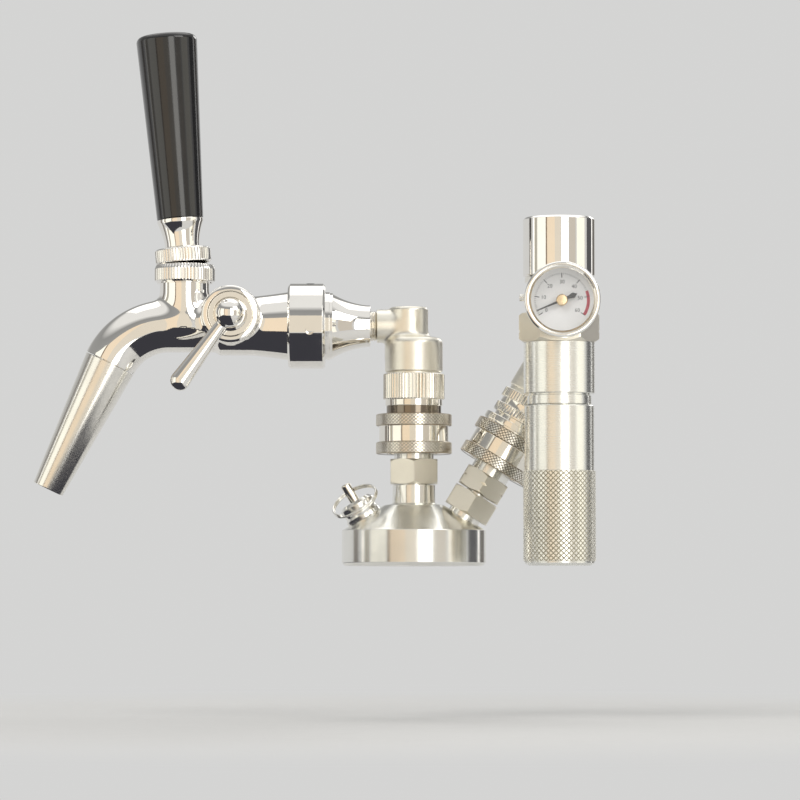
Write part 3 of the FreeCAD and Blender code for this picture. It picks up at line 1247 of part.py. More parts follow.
def regulator_head():
    """The hexagonal head, its neck, the vent screw, the piston, the spring and the adjusting knob."""
    body = new_body("regulator_head", REGULATOR)
    corner = "(block_flats / 2 / cos(30))"
    groove = "(@head_bottom + block_groove_place)"
    revolve(body, "regulator_head", [
        ("piston_radius + running_gap", "@head_bottom + seat_play"),
        ("barrel_radius - 0.2", "@head_bottom + seat_play"),
        (corner, "@head_bottom + 1.6"),
        (corner, groove + " - 0.3"),
        (corner + " - block_groove_depth", groove + " - 0.3"),
        (corner + " - block_groove_depth", groove + " + 0.3"),
        (corner, groove + " + 0.3"),
        (corner, "@head_top - 0.8"),
        (corner + " - 1.2", "@head_top"),
        ("stem_neck_radius", "@head_top"),
        ("stem_neck_radius", "@neck_top"),
        ("stem_collar_radius", "@neck_top"),
        ("stem_collar_radius", "@collar_top"),
        ("screw_radius + running_gap", "@collar_top"),
        ("screw_radius + running_gap", "@neck_top"),
        ("piston_radius + running_gap", "@neck_top - 1.5"),
    ])
    mill_hexagon(body, "regulator_head", "block_flats", "@head_bottom", "block_height")
    drill(
        body, "gauge_port", "gauge_stem + seat_play", "gauge_back + 2",
        frame(z="gauge_rise", axis="1; 0; 0", turn="90"),
    )
    drill(
        body, "vent_port", "vent_radius + seat_play", "gauge_back + 2",
        frame(z="@head_top + vent_height", axis=SIDEWAYS, turn="-90"),
    )
    keep("regulator_head", body)
    vent = frame(z="@head_top + vent_height", axis=SIDEWAYS, turn="-90")
    turned_piece("vent_screw", REGULATOR + " * " + vent, [
        ("0", "piston_radius + 0.5"),
        ("vent_radius", "piston_radius + 0.5"),
        ("vent_radius", "vent_reach - 0.3"),
        ("vent_radius - 0.3", "vent_reach"),
        ("0", "vent_reach"),
    ])
    floor = "(barrel_top + piston_place)"
    turned_piece("regulator_piston", REGULATOR, [
        ("0", "0"),
        ("1.6", "0"),
        ("1.6", floor),
        ("piston_radius", floor),
        ("piston_radius", f"{floor} + piston_height"),
        ("main_spring_inner - 0.3", f"{floor} + piston_height"),
        ("main_spring_inner - 0.3", f"{floor} + piston_height + 1.5"),
        ("0", f"{floor} + piston_height + 1.5"),
    ])
    seat = f"({floor} + piston_height)"
    tube_piece(
        "regulator_spring", REGULATOR, "main_spring_inner", "main_spring_outer",
        seat, f"{seat} + main_spring_length",
    )
    top = "(@collar_top + joint_line)"
    turned_piece("adjusting_screw", REGULATOR, [
        ("0", f"{seat} + main_spring_length - 2"),
        ("main_spring_inner - 0.5", f"{seat} + main_spring_length - 2"),
        ("main_spring_inner - 0.5", f"{seat} + main_spring_length + 0.05"),
        ("main_spring_outer", f"{seat} + main_spring_length + 0.05"),
        ("main_spring_outer", f"{seat} + main_spring_length + 2"),
        ("screw_radius", f"{seat} + main_spring_length + 3"),
        ("screw_radius", f"{top} + knob_height - knob_wall"),
        ("0", f"{top} + knob_height - knob_wall"),
    ])
    turned_piece("adjusting_knob", REGULATOR, [
        ("knob_radius - knob_wall", top),
        ("knob_radius - 0.4", top),
        ("knob_radius", f"{top} + 0.4"),
        ("knob_radius", f"{top} + knob_height - knob_chamfer"),
        ("knob_radius - knob_chamfer", f"{top} + knob_height"),
        ("0", f"{top} + knob_height"),
        ("0", f"{top} + knob_height - knob_wall + seat_play"),
        ("screw_radius + 0.05", f"{top} + knob_height - knob_wall + seat_play"),
        ("screw_radius + 0.05", f"{top} + 6"),
        ("screw_radius + 3", f"{top} + 6"),
        ("screw_radius + 3", f"{top} + knob_height - knob_wall - 2"),
        ("knob_radius - knob_wall", f"{top} + knob_height - knob_wall - 2"),
    ])


def cartridge_pieces():
    """The screw-on sleeve with its knurled grip, and the gas cartridge in it."""
    bottom = "@case_bottom"
    bore_top = "(@case_top - sleeve_thread_length - 0.6)"
    turned_piece("cartridge_sleeve", REGULATOR, [
        ("0", bottom),
        ("grip_radius - 2.2", bottom),
        ("grip_radius - 0.5", f"{bottom} + 0.9"),
        ("grip_radius - 0.5", f"{bottom} + grip_start - 0.3"),
        ("grip_radius", f"{bottom} + grip_start"),
        ("grip_radius", f"{bottom} + grip_end - 0.4"),
        ("case_radius", f"{bottom} + grip_end"),
        ("case_radius", "@case_top - 0.4"),
        ("case_radius - 0.4", "@case_top"),
        ("sleeve_thread_radius + free_gap", "@case_top"),
        ("sleeve_thread_radius + free_gap", bore_top),
        ("case_bore", bore_top),
        ("case_bore", f"{bottom} + case_floor"),
        ("0", f"{bottom} + case_floor"),
    ])
    foot = f"({bottom} + case_floor + seat_play)"
    neck_foot = "(@cartridge_top - cartridge_neck_height)"
    shoulder_foot = f"({neck_foot} - cartridge_shoulder)"
    turned_piece("gas_cartridge", REGULATOR, [
        ("0", foot),
        ("cartridge_radius - 4", foot, "4.0004"),
        ("cartridge_radius", f"{foot} + 4"),
        ("cartridge_radius", shoulder_foot),
        ("cartridge_neck", neck_foot),
        ("cartridge_neck", "@cartridge_top"),
        ("1.6", "@cartridge_top"),
        ("1.6", "@cartridge_top - 3"),
        ("cartridge_neck - cartridge_wall", "@cartridge_top - 3"),
        ("cartridge_neck - cartridge_wall", f"{neck_foot} - 0.4"),
        ("cartridge_radius - cartridge_wall", f"{shoulder_foot} - 0.4"),
        ("cartridge_radius - cartridge_wall", f"{foot} + 4"),
        ("cartridge_radius - 4", f"{foot} + cartridge_wall"),
        ("0", f"{foot} + cartridge_wall"),
    ])


def gauge_pieces():
    """The pressure gauge: case, dial, needle, lens and bezel."""
    front = "(gauge_back + gauge_depth)"
    turned_piece("gauge_case", GAUGE, [
        ("0", "gauge_back - 5"),
        ("gauge_stem", "gauge_back - 5"),
        ("gauge_stem", "gauge_back"),
        ("gauge_radius - 1.2", "gauge_back"),
        ("gauge_radius", "gauge_back + 1.2"),
        ("gauge_radius", front),
        ("gauge_radius - gauge_wall", front),
        ("gauge_radius - gauge_wall", "gauge_back + 2"),
        ("hub_radius - 1.5", "gauge_back + 2"),
        ("hub_radius - 1.5", "@dial_face + 0.8"),
        ("0", "@dial_face + 0.8"),
    ])
    tube_piece(
        "gauge_dial", GAUGE, "hub_radius - 1.4", "gauge_radius - gauge_wall - seat_play",
        "@dial_face - dial_thickness", "@dial_face",
    )
    turned_piece("gauge_lens", GAUGE, [
        ("0", "@bezel_front - bezel_lip - lens_thickness"),
        ("gauge_radius - gauge_wall - seat_play", "@bezel_front - bezel_lip - lens_thickness"),
        ("gauge_radius - gauge_wall - seat_play", "@bezel_front - bezel_lip"),
        ("0", "@bezel_front - bezel_lip"),
    ])
    turned_piece("gauge_bezel", GAUGE, [
        ("gauge_radius + seat_play", "@bezel_front - bezel_depth"),
        ("bezel_radius", "@bezel_front - bezel_depth"),
        ("bezel_radius", "@bezel_front - 1", "1.0001"),
        ("bezel_radius - 1", "@bezel_front"),
        ("bezel_opening + 0.4", "@bezel_front"),
        ("bezel_opening", "@bezel_front - 0.6"),
        ("bezel_opening", "@bezel_front - bezel_lip + seat_play"),
        ("gauge_radius + seat_play", "@bezel_front - bezel_lip + seat_play"),
    ])
    needle = new_body("gauge_needle", NEEDLE)
    hub = needle.newObject("PartDesign::AdditiveCylinder", "needle_hub")
    bind(hub, "Radius", "hub_radius")
    bind(hub, "Height", "needle_thickness + 1.2")
    outline = new_sketch(needle, "needle_outline", "XY_Plane")
    draw_outline(outline, [
        ("needle_length", "-0.15"),
        ("needle_length", "0.15"),
        ("0", "0.45"),
        ("-needle_tail + 2", "0.5"),
        ("-needle_tail", "needle_width"),
        ("-needle_tail - 0.8", "0"),
        ("-needle_tail", "-needle_width"),
        ("-needle_tail + 2", "-0.5"),
        ("0", "-0.45"),
    ])
    blade = needle.newObject("PartDesign::Pad", "needle_blade")
    blade.Profile = outline
    bind(blade, "Length", "needle_thickness")
    keep("gauge_needle", needle)


def check_document():
    """Stop if an object failed, or if a piece's shape is empty or not valid."""
    for thing in doc.Objects:
        if "Invalid" in thing.State or "Error" in thing.State:
            raise SystemExit(f"{thing.Name} is {thing.State}")
    for piece in parts:
        if piece.Shape.isNull() or not piece.Shape.isValid() or not piece.Shape.Solids:
            raise SystemExit(f"{piece.Label} has no valid solid")


fill_sheet()
cap_assembly()
liquid_post()
gas_post()
relief_valve()
liquid_disconnect()
gas_disconnect()
tap_rear()
tap_casting()
nozzle()
bonnet_and_lever()
shuttle_pieces()
flow_control()
regulator_barrel()
regulator_head()
cartridge_pieces()
gauge_pieces()
doc.recompute()
check_document()
os.makedirs("parts", exist_ok=True)
for piece in parts:
    piece.Shape.exportStep(f"parts/{piece.Label}.step")
print(f"{len(parts)} pieces")
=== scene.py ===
"""Looks of a small keg's dispensing head: cap, two ball-lock disconnects, tap, regulator and gauge.

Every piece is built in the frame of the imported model. Sizes are millimetres, and each class turns,
mills, knurls or casts its own pieces and gives them their finishes.
"""

import json
import logging
import math
from collections.abc import Callable, Sequence
from dataclasses import dataclass
from enum import Enum

import bmesh
import bpy
import numpy as np
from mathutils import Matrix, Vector

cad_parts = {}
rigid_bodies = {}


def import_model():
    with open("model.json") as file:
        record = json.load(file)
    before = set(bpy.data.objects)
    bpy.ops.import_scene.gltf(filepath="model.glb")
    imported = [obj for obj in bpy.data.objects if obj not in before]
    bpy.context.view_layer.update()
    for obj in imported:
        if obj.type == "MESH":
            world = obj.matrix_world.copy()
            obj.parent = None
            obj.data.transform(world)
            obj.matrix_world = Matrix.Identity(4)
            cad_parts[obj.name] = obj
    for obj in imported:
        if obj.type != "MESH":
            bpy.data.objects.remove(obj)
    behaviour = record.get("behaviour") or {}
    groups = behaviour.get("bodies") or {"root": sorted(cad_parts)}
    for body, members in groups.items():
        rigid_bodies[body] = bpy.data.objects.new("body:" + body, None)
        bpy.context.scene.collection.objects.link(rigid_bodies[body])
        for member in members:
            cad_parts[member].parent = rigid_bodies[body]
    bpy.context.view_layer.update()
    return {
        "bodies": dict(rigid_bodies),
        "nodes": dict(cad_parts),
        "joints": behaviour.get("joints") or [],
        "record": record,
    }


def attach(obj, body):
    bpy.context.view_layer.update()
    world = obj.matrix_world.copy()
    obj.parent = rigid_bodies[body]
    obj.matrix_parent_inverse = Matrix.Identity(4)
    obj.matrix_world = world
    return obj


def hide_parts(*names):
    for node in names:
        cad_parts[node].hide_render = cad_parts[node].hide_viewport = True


MM = 0.001
TINY = 1e-6  # a length or radius below this counts as none
WELD = 2e-7  # metres within which points are joined
STRAIGHT = math.radians(172)  # a wider corner isn't rounded
FOLDED = math.radians(4)  # nor is a narrower one
FREE_SHARE = 0.45  # how much of an edge one rounding may take
NOSE = 0.14  # rounding of a corner that names none
BROAD = 0.6  # a rounding from here on is drawn with more steps
CHART = 0.1  # how far a millimetre of surface runs on its chart
CHAMFER = (1.4, 1.0)  # of a hexagon: inward from its corners, and height
CORNER_FIRST = 30.0  # turns a corner of a hexagon to the viewer, in degrees
HEXAGON_RING = 192  # steps round a hexagon
FLUTE_STEPS = 8  # steps across one flute
PROJECTIONS = 6  # how often a cast point is moved on to its surface
LEAST_SLOPE = 1e-9  # keeps a division by a field's slope safe
CLOUDS = 90.0  # soft clouds of colour in a metre
QUARTER_TURN = 0.25  # turns the drawn-out highlight across the marks
COAT_ROUGHNESS = 0.03
LOG = logging.getLogger("dispensing_head")

Corner = tuple[float, ...]
Column = Sequence[tuple[float, float]]
Triple = tuple[float, float, float]
Field = Callable[[np.ndarray], np.ndarray]


@dataclass(frozen=True)
class Axis:
    """A place and two directions that a piece is built in.

    Args:
        origin: The start of the axis, in millimetres.
        z: The direction of the axis.
        x: The direction that angles are counted from.
    """

    origin: Triple = (0.0, 0.0, 0.0)
    z: Triple = (0.0, 0.0, 1.0)
    x: Triple = (1.0, 0.0, 0.0)

    def basis(self) -> np.ndarray:
        """Returns the x, y and z directions as the rows of a 3 x 3 array."""
        z = np.array(self.z, float)
        x = np.array(self.x, float)
        x = x - z * x.dot(z)
        x /= np.linalg.norm(x)
        z /= np.linalg.norm(z)
        return np.array([x, np.cross(z, x), z])

    def place(self, points: np.ndarray) -> np.ndarray:
        """Moves points from this frame into the world.

        Args:
            points: An array of points in millimetres, one row each.

        Returns:
            The same points in the world, in millimetres.
        """
        return points @ self.basis() + np.array(self.origin, float)

    def along(self, height: float) -> "Axis":
        """Returns the same axis with its start moved along it."""
        start = np.array(self.origin) + self.basis()[2] * height
        return Axis(tuple(start), self.z, self.x)


UPRIGHT = Axis()
GAS_PORT = Axis((20.3, 0.0, 20.0279), (0.515038, 0.0, 0.857167), (0.857167, 0.0, -0.515038))
GAS_POST = GAS_PORT.along(11.2)
GAS_MOUTH = GAS_PORT.along(23.15)
RELIEF_PORT = Axis((-20.3, 0.0, 20.0279), (-0.515038, 0.0, 0.857167), (0.857167, 0.0, 0.515038))
LIQUID_POST = Axis((0.0, 0.0, 33.4146))
LIQUID_MOUTH = Axis((0.0, 0.0, 45.8146))
TAP = Axis((0.0, 0.0, 98.2146), (-1.0, 0.0, 0.0), (0.0, 0.0, 1.0))
NOZZLE = Axis((-124.4776, 0.0, 83.1068), (-0.438371, 0.0, -0.898794), (-0.898794, 0.0, 0.438371))
BONNET = Axis((-94.0, 0.0, 98.2146))
LEVER = Axis((-94.0, 0.0, 117.2146), (-0.078459, 0.0, 0.996917), (0.996917, 0.0, 0.078459))
FLOW = Axis((-74.6, 0.0, 102.1146), (0.0, -1.0, 0.0), (1.0, 0.0, 0.0))
FLOW_ARM = Axis((-74.6, -20.3, 102.1146), (0.0, -1.0, 0.0), (-0.587785, 0.0, -0.809017))
REGULATOR = Axis((58.078, -34.0, 82.9011))
VENT = Axis((58.078, -34.0, 107.2011), (-1.0, 0.0, 0.0), (0.0, 0.0, 1.0))
GAUGE = Axis((58.078, -34.0, 104.2011), (0.0, -1.0, 0.0), (1.0, 0.0, 0.0))
NEEDLE = Axis((58.078, -59.6, 104.2011), (0.0, -1.0, 0.0), (-0.920505, 0.0, -0.390731))


def soften(outline: Sequence[Corner], default: float = NOSE) -> list[tuple[float, float]]:
    """Rounds the corners of an outline, as a cutter's nose and a polish leave them.

    Args:
        outline: Closed outline of (radius, height) corners. A third entry is the corner's own rounding.
        default: Rounding of a corner without a third entry.

    Returns:
        The outline's points, with short arcs in place of its corners.
    """
    points = [Vector((corner[0], corner[1])) for corner in outline]
    result: list[tuple[float, float]] = []
    for index, corner in enumerate(outline):
        here = points[index]
        before = points[index - 1] - here
        after = points[(index + 1) % len(points)] - here
        radius = corner[2] if len(corner) > 2 else default
        sharp = corner[0] < TINY or radius <= 0 or min(before.length, after.length) < TINY
        turn = 0.0 if sharp else math.acos(max(-1.0, min(1.0, before.normalized().dot(after.normalized()))))
        if not FOLDED <= turn <= STRAIGHT:
            result.append((here.x, here.y))
            continue
        reach = min(radius / math.tan(turn / 2), FREE_SHARE * before.length, FREE_SHARE * after.length)
        start = here + before.normalized() * reach
        end = here + after.normalized() * reach
        steps = 3 if radius < BROAD else 8
        for step in range(steps + 1):
            share = step / steps
            point = start * (1 - share) ** 2 + here * 2 * share * (1 - share) + end * share**2
            result.append((point.x, point.y))
    return result


def arc(start: tuple[float, float], end: tuple[float, float], bulge: float, steps: int = 14) -> list[Corner]:
    """Points of a round edge between two corners of an outline.

    Args:
        start: Its first corner.
        end: Its last corner.
        bulge: Radius; positive bulges to the right of the way, negative to the left.
        steps: How many chords it is drawn with.

    Returns:
        The corners from start to end, with no rounding of their own.
    """
    first, last = Vector(start), Vector(end)
    chord = last - first
    across = Vector((-chord.y, chord.x)).normalized()
    rise = math.sqrt(max(bulge * bulge - chord.length_squared / 4, 0.0))
    centre = (first + last) / 2 + across * (rise if bulge > 0 else -rise)
    begin = math.atan2(first.y - centre.y, first.x - centre.x)
    sweep = math.atan2(last.y - centre.y, last.x - centre.x) - begin
    sweep = (sweep + math.pi) % (2 * math.pi) - math.pi
    corners: list[Corner] = []
    for step in range(steps + 1):
        angle = begin + sweep * step / steps
        corners.append((centre.x + abs(bulge) * math.cos(angle), centre.y + abs(bulge) * math.sin(angle), 0.0))
    return corners


def blend(first: np.ndarray, second: np.ndarray, width: float) -> np.ndarray:
    """Joins two fields with a smooth fillet.

    Args:
        first: Distances to the first form.
        second: Distances to the second form.
        width: How wide the fillet is.

    Returns:
        Distances to the joined form.
    """
    share = np.maximum(width - np.abs(first - second), 0.0) / width
    return np.minimum(first, second) - share**3 * width / 6.0


def rod(across: np.ndarray, along: np.ndarray, radius: float, top: float, edge: float) -> np.ndarray:
    """Gives the distances to a round rod that ends at a height, with a rounded edge there.

    Args:
        across: Distances of the points from the rod's axis.
        along: Their places along it.
        radius: Its radius.
        top: Where it ends.
        edge: Rounding of that end.

    Returns:
        Distances to the rod, negative inside.
    """
    side = across - (radius - edge)
    end = along - (top - edge)
    outside = np.hypot(np.maximum(side, 0.0), np.maximum(end, 0.0))
    return outside + np.minimum(np.maximum(side, end), 0.0) - edge


def weld(mesh: bpy.types.Mesh, outward: bool = False) -> None:
    """Joins a mesh's doubled points.

    Args:
        mesh: The mesh.
        outward: Whether its faces are turned outward too.
    """
    work = bmesh.new()
    work.from_mesh(mesh)
    bmesh.ops.remove_doubles(work, verts=work.verts, dist=WELD)
    bmesh.ops.dissolve_degenerate(work, edges=work.edges, dist=WELD)
    if outward:
        bmesh.ops.recalc_face_normals(work, faces=work.faces)
    work.to_mesh(mesh)
    work.free()


def stand(name: str, data: bpy.types.ID) -> bpy.types.Object:
    """Stands something in the scene.

    Args:
        name: Its name.
        data: Its mesh, lamp or camera.

    Returns:
        The new object.
    """
    piece = bpy.data.objects.new(name, data)
    bpy.context.scene.collection.objects.link(piece)
    return piece


def add_node(tree: bpy.types.NodeTree, kind: str, inputs: dict, **settings: object) -> bpy.types.Node:
    """Adds a node to a material or a world.

    Args:
        tree: The tree that takes it.
        kind: Its type.
        inputs: What goes into its sockets: another node's socket is linked, a value is set.
        settings: Its own settings.

    Returns:
        The new node.
    """
    node = tree.nodes.new(kind)
    for name, value in settings.items():
        setattr(node, name, value)
    for name, value in inputs.items():
        if isinstance(value, bpy.types.NodeSocket):
            tree.links.new(value, node.inputs[name])
        else:
            node.inputs[name].default_value = value
    return node


class Shell:
    """Collects the faces of one piece and makes it an object.

    Args:
        name: The object's name.
        crease: Angle in degrees above which an edge stays sharp.
    """

    def __init__(self, name: str, crease: float = 28.0) -> None:
        """Starts with no faces."""
        self.name = name
        self.crease = crease
        self.points: list[np.ndarray] = []
        self.maps: list[np.ndarray] = []
        self.faces: list[list[int]] = []
        self.marks: list[int] = []
        self.normals: list[np.ndarray] = []
        self.holes: list[tuple[Axis, float, float]] = []
        self.count = 0

    def add(
        self, points: np.ndarray, faces: Sequence[Sequence[int]], mark: int, places: np.ndarray | None = None,
    ) -> None:
        """Adds points and the faces between them.

        Args:
            points: World points in millimetres, one row each.
            faces: Faces as indices into these points.
            mark: Which of the piece's finishes the faces take.
            places: Angle and length of each point along the surface, for the finish.
        """
        places = points[:, :2] * CHART if places is None else places
        self.points.append(np.asarray(points, float))
        self.maps.append(np.asarray(places, float))
        self.faces.extend([[index + self.count for index in face] for face in faces])
        self.marks.extend([mark] * len(faces))
        self.count += len(points)

    def lofted(self, axis: Axis, column: Callable[[float], Column], ring: int, mark: int = 0) -> "Shell":
        """Turns a closed outline that may change with the angle.

        Args:
            axis: The frame that it is turned in.
            column: Gives the outline's points at an angle.
            ring: How many steps the turn has.
            mark: Which finish it takes.

        Returns:
            This shell.
        """
        angles = [2 * math.pi * step / ring + math.pi / 2 for step in range(ring)]
        columns = np.array([column(angle) for angle in angles])
        rows = columns.shape[1]
        radii, heights = columns[:, :, 0], columns[:, :, 1]
        turned = np.stack([radii * np.cos(angles)[:, None], radii * np.sin(angles)[:, None], heights], axis=2)
        first = columns[0]
        lengths = np.concatenate([[0.0], np.cumsum(np.hypot(*np.diff(first, axis=0).T))])
        places = np.stack(np.meshgrid(np.arange(ring) / ring, lengths * CHART, indexing="ij"), axis=2).reshape(-1, 2)
        following = np.roll(first, -1, axis=0)
        anticlockwise = np.sum(first[:, 0] * following[:, 1] - following[:, 0] * first[:, 1]) > 0
        faces = []
        for step in range(ring):
            beside = (step + 1) % ring
            for row in range(rows):
                after = (row + 1) % rows
                if first[row][0] < TINY and first[after][0] < TINY:
                    continue
                face = [step * rows + row, step * rows + after, beside * rows + after, beside * rows + row]
                faces.append(face[::-1] if anticlockwise else face)
        self.add(axis.place(turned.reshape(-1, 3)), faces, mark, places)
        return self

    def turned(
        self, axis: Axis, outline: Sequence[Corner], ring: int = 128, mark: int = 0, nose: float = NOSE,
    ) -> "Shell":
        """Turns one outline of (radius, height) corners, with its corners softened."""
        column = soften(outline, nose)
        return self.lofted(axis, lambda angle: column, ring, mark)

    def fluted(
        self, axis: Axis, outline: Sequence[Corner], count: int, depth: float, band: tuple[float, float], reach: float,
    ) -> "Shell":
        """Turns an outline and cuts round flutes into its rim between two heights.

        Args:
            axis: The frame that it is turned in.
            outline: Closed outline of corners.
            count: How many flutes there are.
            depth: How deep each one is.
            band: Heights between which the flutes are cut.
            reach: Radius above which a point belongs to the rim.

        Returns:
            This shell.
        """
        column = []
        smooth = soften(outline)
        for (radius, height), (following, level) in zip(smooth, smooth[1:] + smooth[:1]):
            column.append((radius, height))
            if radius > reach and following > reach and abs(level - height) > 1.0:
                column += [(radius, height + (level - height) * share) for share in (0.04, 0.12, 0.5, 0.88, 0.96)]

        def cut(angle: float) -> Column:
            """The outline at one angle of the rim."""
            groove = depth * (0.5 - 0.5 * math.cos(count * angle)) ** 0.8
            low, high = band
            points = []
            for radius, height in column:
                inside = min(max(min(height - low, high - height) / 0.25 + 1.0, 0.0), 1.0)
                points.append((radius - groove * inside if radius > reach else radius, height))
            return points

        return self.lofted(axis, cut, count * FLUTE_STEPS)

    def hexagonal(
        self, axis: Axis, flats: float, band: tuple[float, float], inner: float,
        groove: tuple[float, float] = (0.0, 0.0), turn: float = 0.0,
        foot: tuple[float, float] = CHAMFER, crown: tuple[float, float] = CHAMFER,
    ) -> "Shell":
        """Mills a hexagon with turned chamfers at both ends. It takes the second finish.

        Args:
            axis: The frame that it is milled in.
            flats: Its width across flats.
            band: Its lower and upper face.
            inner: Radius of the hole through it.
            groove: Height and depth of a V groove turned round it.
            turn: How far its corners are turned about the axis, in degrees.
            foot: How far the lower chamfer comes in from the corners, and how high it is.
            crown: The same for the upper chamfer.

        Returns:
            This shell.
        """
        corner = flats / 2 / math.cos(math.pi / 6)
        low, high = band
        level = groove[0] if groove[1] else (low + high) / 2

        def cut(angle: float) -> Column:
            """The outline at one angle of the hexagon."""
            beside = (angle - math.radians(turn) + math.pi / 6) % (math.pi / 3) - math.pi / 6
            side = min(flats / 2 / math.cos(math.pi / 6 - abs(beside)), corner - 0.06)
            rims = []
            for inward, tall in (foot, crown):
                start = corner - inward
                rims.append((min(side, start), tall * max(side - start, 0.0) / inward))
            sink = max(groove[1] - (corner - side), 0.0)
            (first, rise), (last, drop) = rims
            return [
                (inner, low), (first, low), (side, low + rise), (side, level - sink), (side - sink, level),
                (side, level + sink), (side, high - drop), (last, high), (inner, high),
            ]

        return self.lofted(axis, cut, HEXAGON_RING, 1)

    def knurled(
        self, axis: Axis, radius: float, depth: float, band: tuple[float, float], around: int, rows: int, flat: float,
    ) -> "Shell":
        """Rolls a diamond knurl. Its tops take the second finish, and the grooves between them the third, a darker one
        that paints the shade in the grooves.

        Args:
            axis: The frame of the band.
            radius: Radius of the diamonds' tips.
            depth: How deep the grooves between them are.
            band: Lower and upper edge of the knurl.
            around: How many diamonds stand side by side.
            rows: How many rows of them there are.
            flat: Share of each diamond that is left flat.

        Returns:
            This shell.
        """
        low, high = band
        half = (high - low) / (2 * rows)
        points: list[Triple] = []
        places: list[tuple[float, float]] = []
        faces: list[list[int]] = []
        tops: list[list[int]] = []

        def point(column: float, row: float, size: float) -> int:
            """Adds one point of the band and returns its index."""
            angle = math.pi * column / around + math.pi / 2
            points.append((size * math.cos(angle), size * math.sin(angle), low + half * row))
            places.append((column / around / 2, (low + half * row) * CHART))
            return len(points) - 1

        valley: dict[tuple[int, int], int] = {}
        for column in range(2 * around):
            for row in range(2 * rows + 1):
                if (column + row) % 2 == 0:
                    valley[column, row] = point(column, row, radius - depth)
        rims: dict[int, list[int]] = {0: [], 2 * rows: []}
        for column in range(2 * around):
            for row in range(2 * rows + 1):
                if (column + row) % 2 == 0:
                    continue
                left = valley[(column - 1) % (2 * around), row]
                right = valley[(column + 1) % (2 * around), row]
                tips = [point(column - flat, row, radius), point(column + flat, row, radius)]
                top = tips[::-1]
                if row < 2 * rows:
                    above = valley[column, row + 1]
                    upper = point(column, row + flat, radius)
                    faces += [[right, above, upper, tips[1]], [above, left, tips[0], upper]]
                    top.insert(1, upper)
                if row > 0:
                    below = valley[column, row - 1]
                    lower = point(column, row - flat, radius)
                    faces += [[below, right, tips[1], lower], [left, below, lower, tips[0]]]
                    top.insert(0, lower)
                tops.append(top)
                if row in rims:
                    rims[row] += [left, tips[0], tips[1]]
        skirt, root = 0.35, radius - depth - 0.25
        for row, rim in rims.items():
            inner = [self._copy_inward(points, places, index, root, skirt if row else -skirt) for index in rim]
            for step in range(len(rim)):
                beside = (step + 1) % len(rim)
                face = [rim[step], rim[beside], inner[beside], inner[step]]
                faces.append(face if row else face[::-1])
        # The groove faces take mark 2, the darker finish that paints shade in the grooves; the tops take mark 1.
        for group, mark in ((faces, 2), (tops, 1)):
            used = sorted({index for face in group for index in face})
            order = {index: place for place, index in enumerate(used)}
            corners, spots = np.array(points)[used], np.array(places)[used]
            self.add(axis.place(corners), [[order[index] for index in face] for face in group], mark, spots)
        return self

    @staticmethod
    def _copy_inward(
        points: list[Triple], places: list[tuple[float, float]], index: int, size: float, drop: float,
    ) -> int:
        """Copies a point of a knurl inward.

        Args:
            points: The knurl's points, which take the copy.
            places: Their places along the surface.
            index: Which point is copied.
            size: Radius of the copy.
            drop: How far it moves along the axis.

        Returns:
            The copy's index.
        """
        x, y, z = points[index]
        share = size / math.hypot(x, y)
        points.append((x * share, y * share, z + drop))
        places.append(places[index])
        return len(points) - 1

    def wire(self, path: np.ndarray, radius: float | Sequence[float], sides: int) -> "Shell":
        """Draws a round wire along an open path.

        Args:
            path: World points in millimetres, one row each.
            radius: Radius of the wire, one for all or one for each point.
            sides: How many sides its section has.

        Returns:
            This shell.
        """
        count = len(path)
        radii = np.full(count, radius, float) if np.isscalar(radius) else np.array(radius, float)
        ahead = np.roll(path, -1, axis=0) - np.roll(path, 1, axis=0)
        ahead[0] = path[1] - path[0]
        ahead[-1] = path[-1] - path[-2]
        ahead /= np.linalg.norm(ahead, axis=1)[:, None]
        side = np.cross(ahead[0], (0.3, 0.2, 0.93))
        rings = []
        for index in range(count):
            side = side - ahead[index] * side.dot(ahead[index])
            side /= np.linalg.norm(side)
            up = np.cross(ahead[index], side)
            angles = np.linspace(0, 2 * math.pi, sides, endpoint=False)[:, None]
            rings.append(path[index] + radii[index] * (np.cos(angles) * side + np.sin(angles) * up))
        faces = []
        for start in range(0, (count - 1) * sides, sides):
            for step in range(sides):
                after = (step + 1) % sides
                faces.append([start + step, start + after, start + sides + after, start + sides + step])
        faces += [list(range(sides))[::-1], list(range((count - 1) * sides, count * sides))]
        places = np.array([(step / sides, index * 0.02) for index in range(count) for step in range(sides)])
        self.add(np.concatenate(rings), faces, 0, places)
        return self

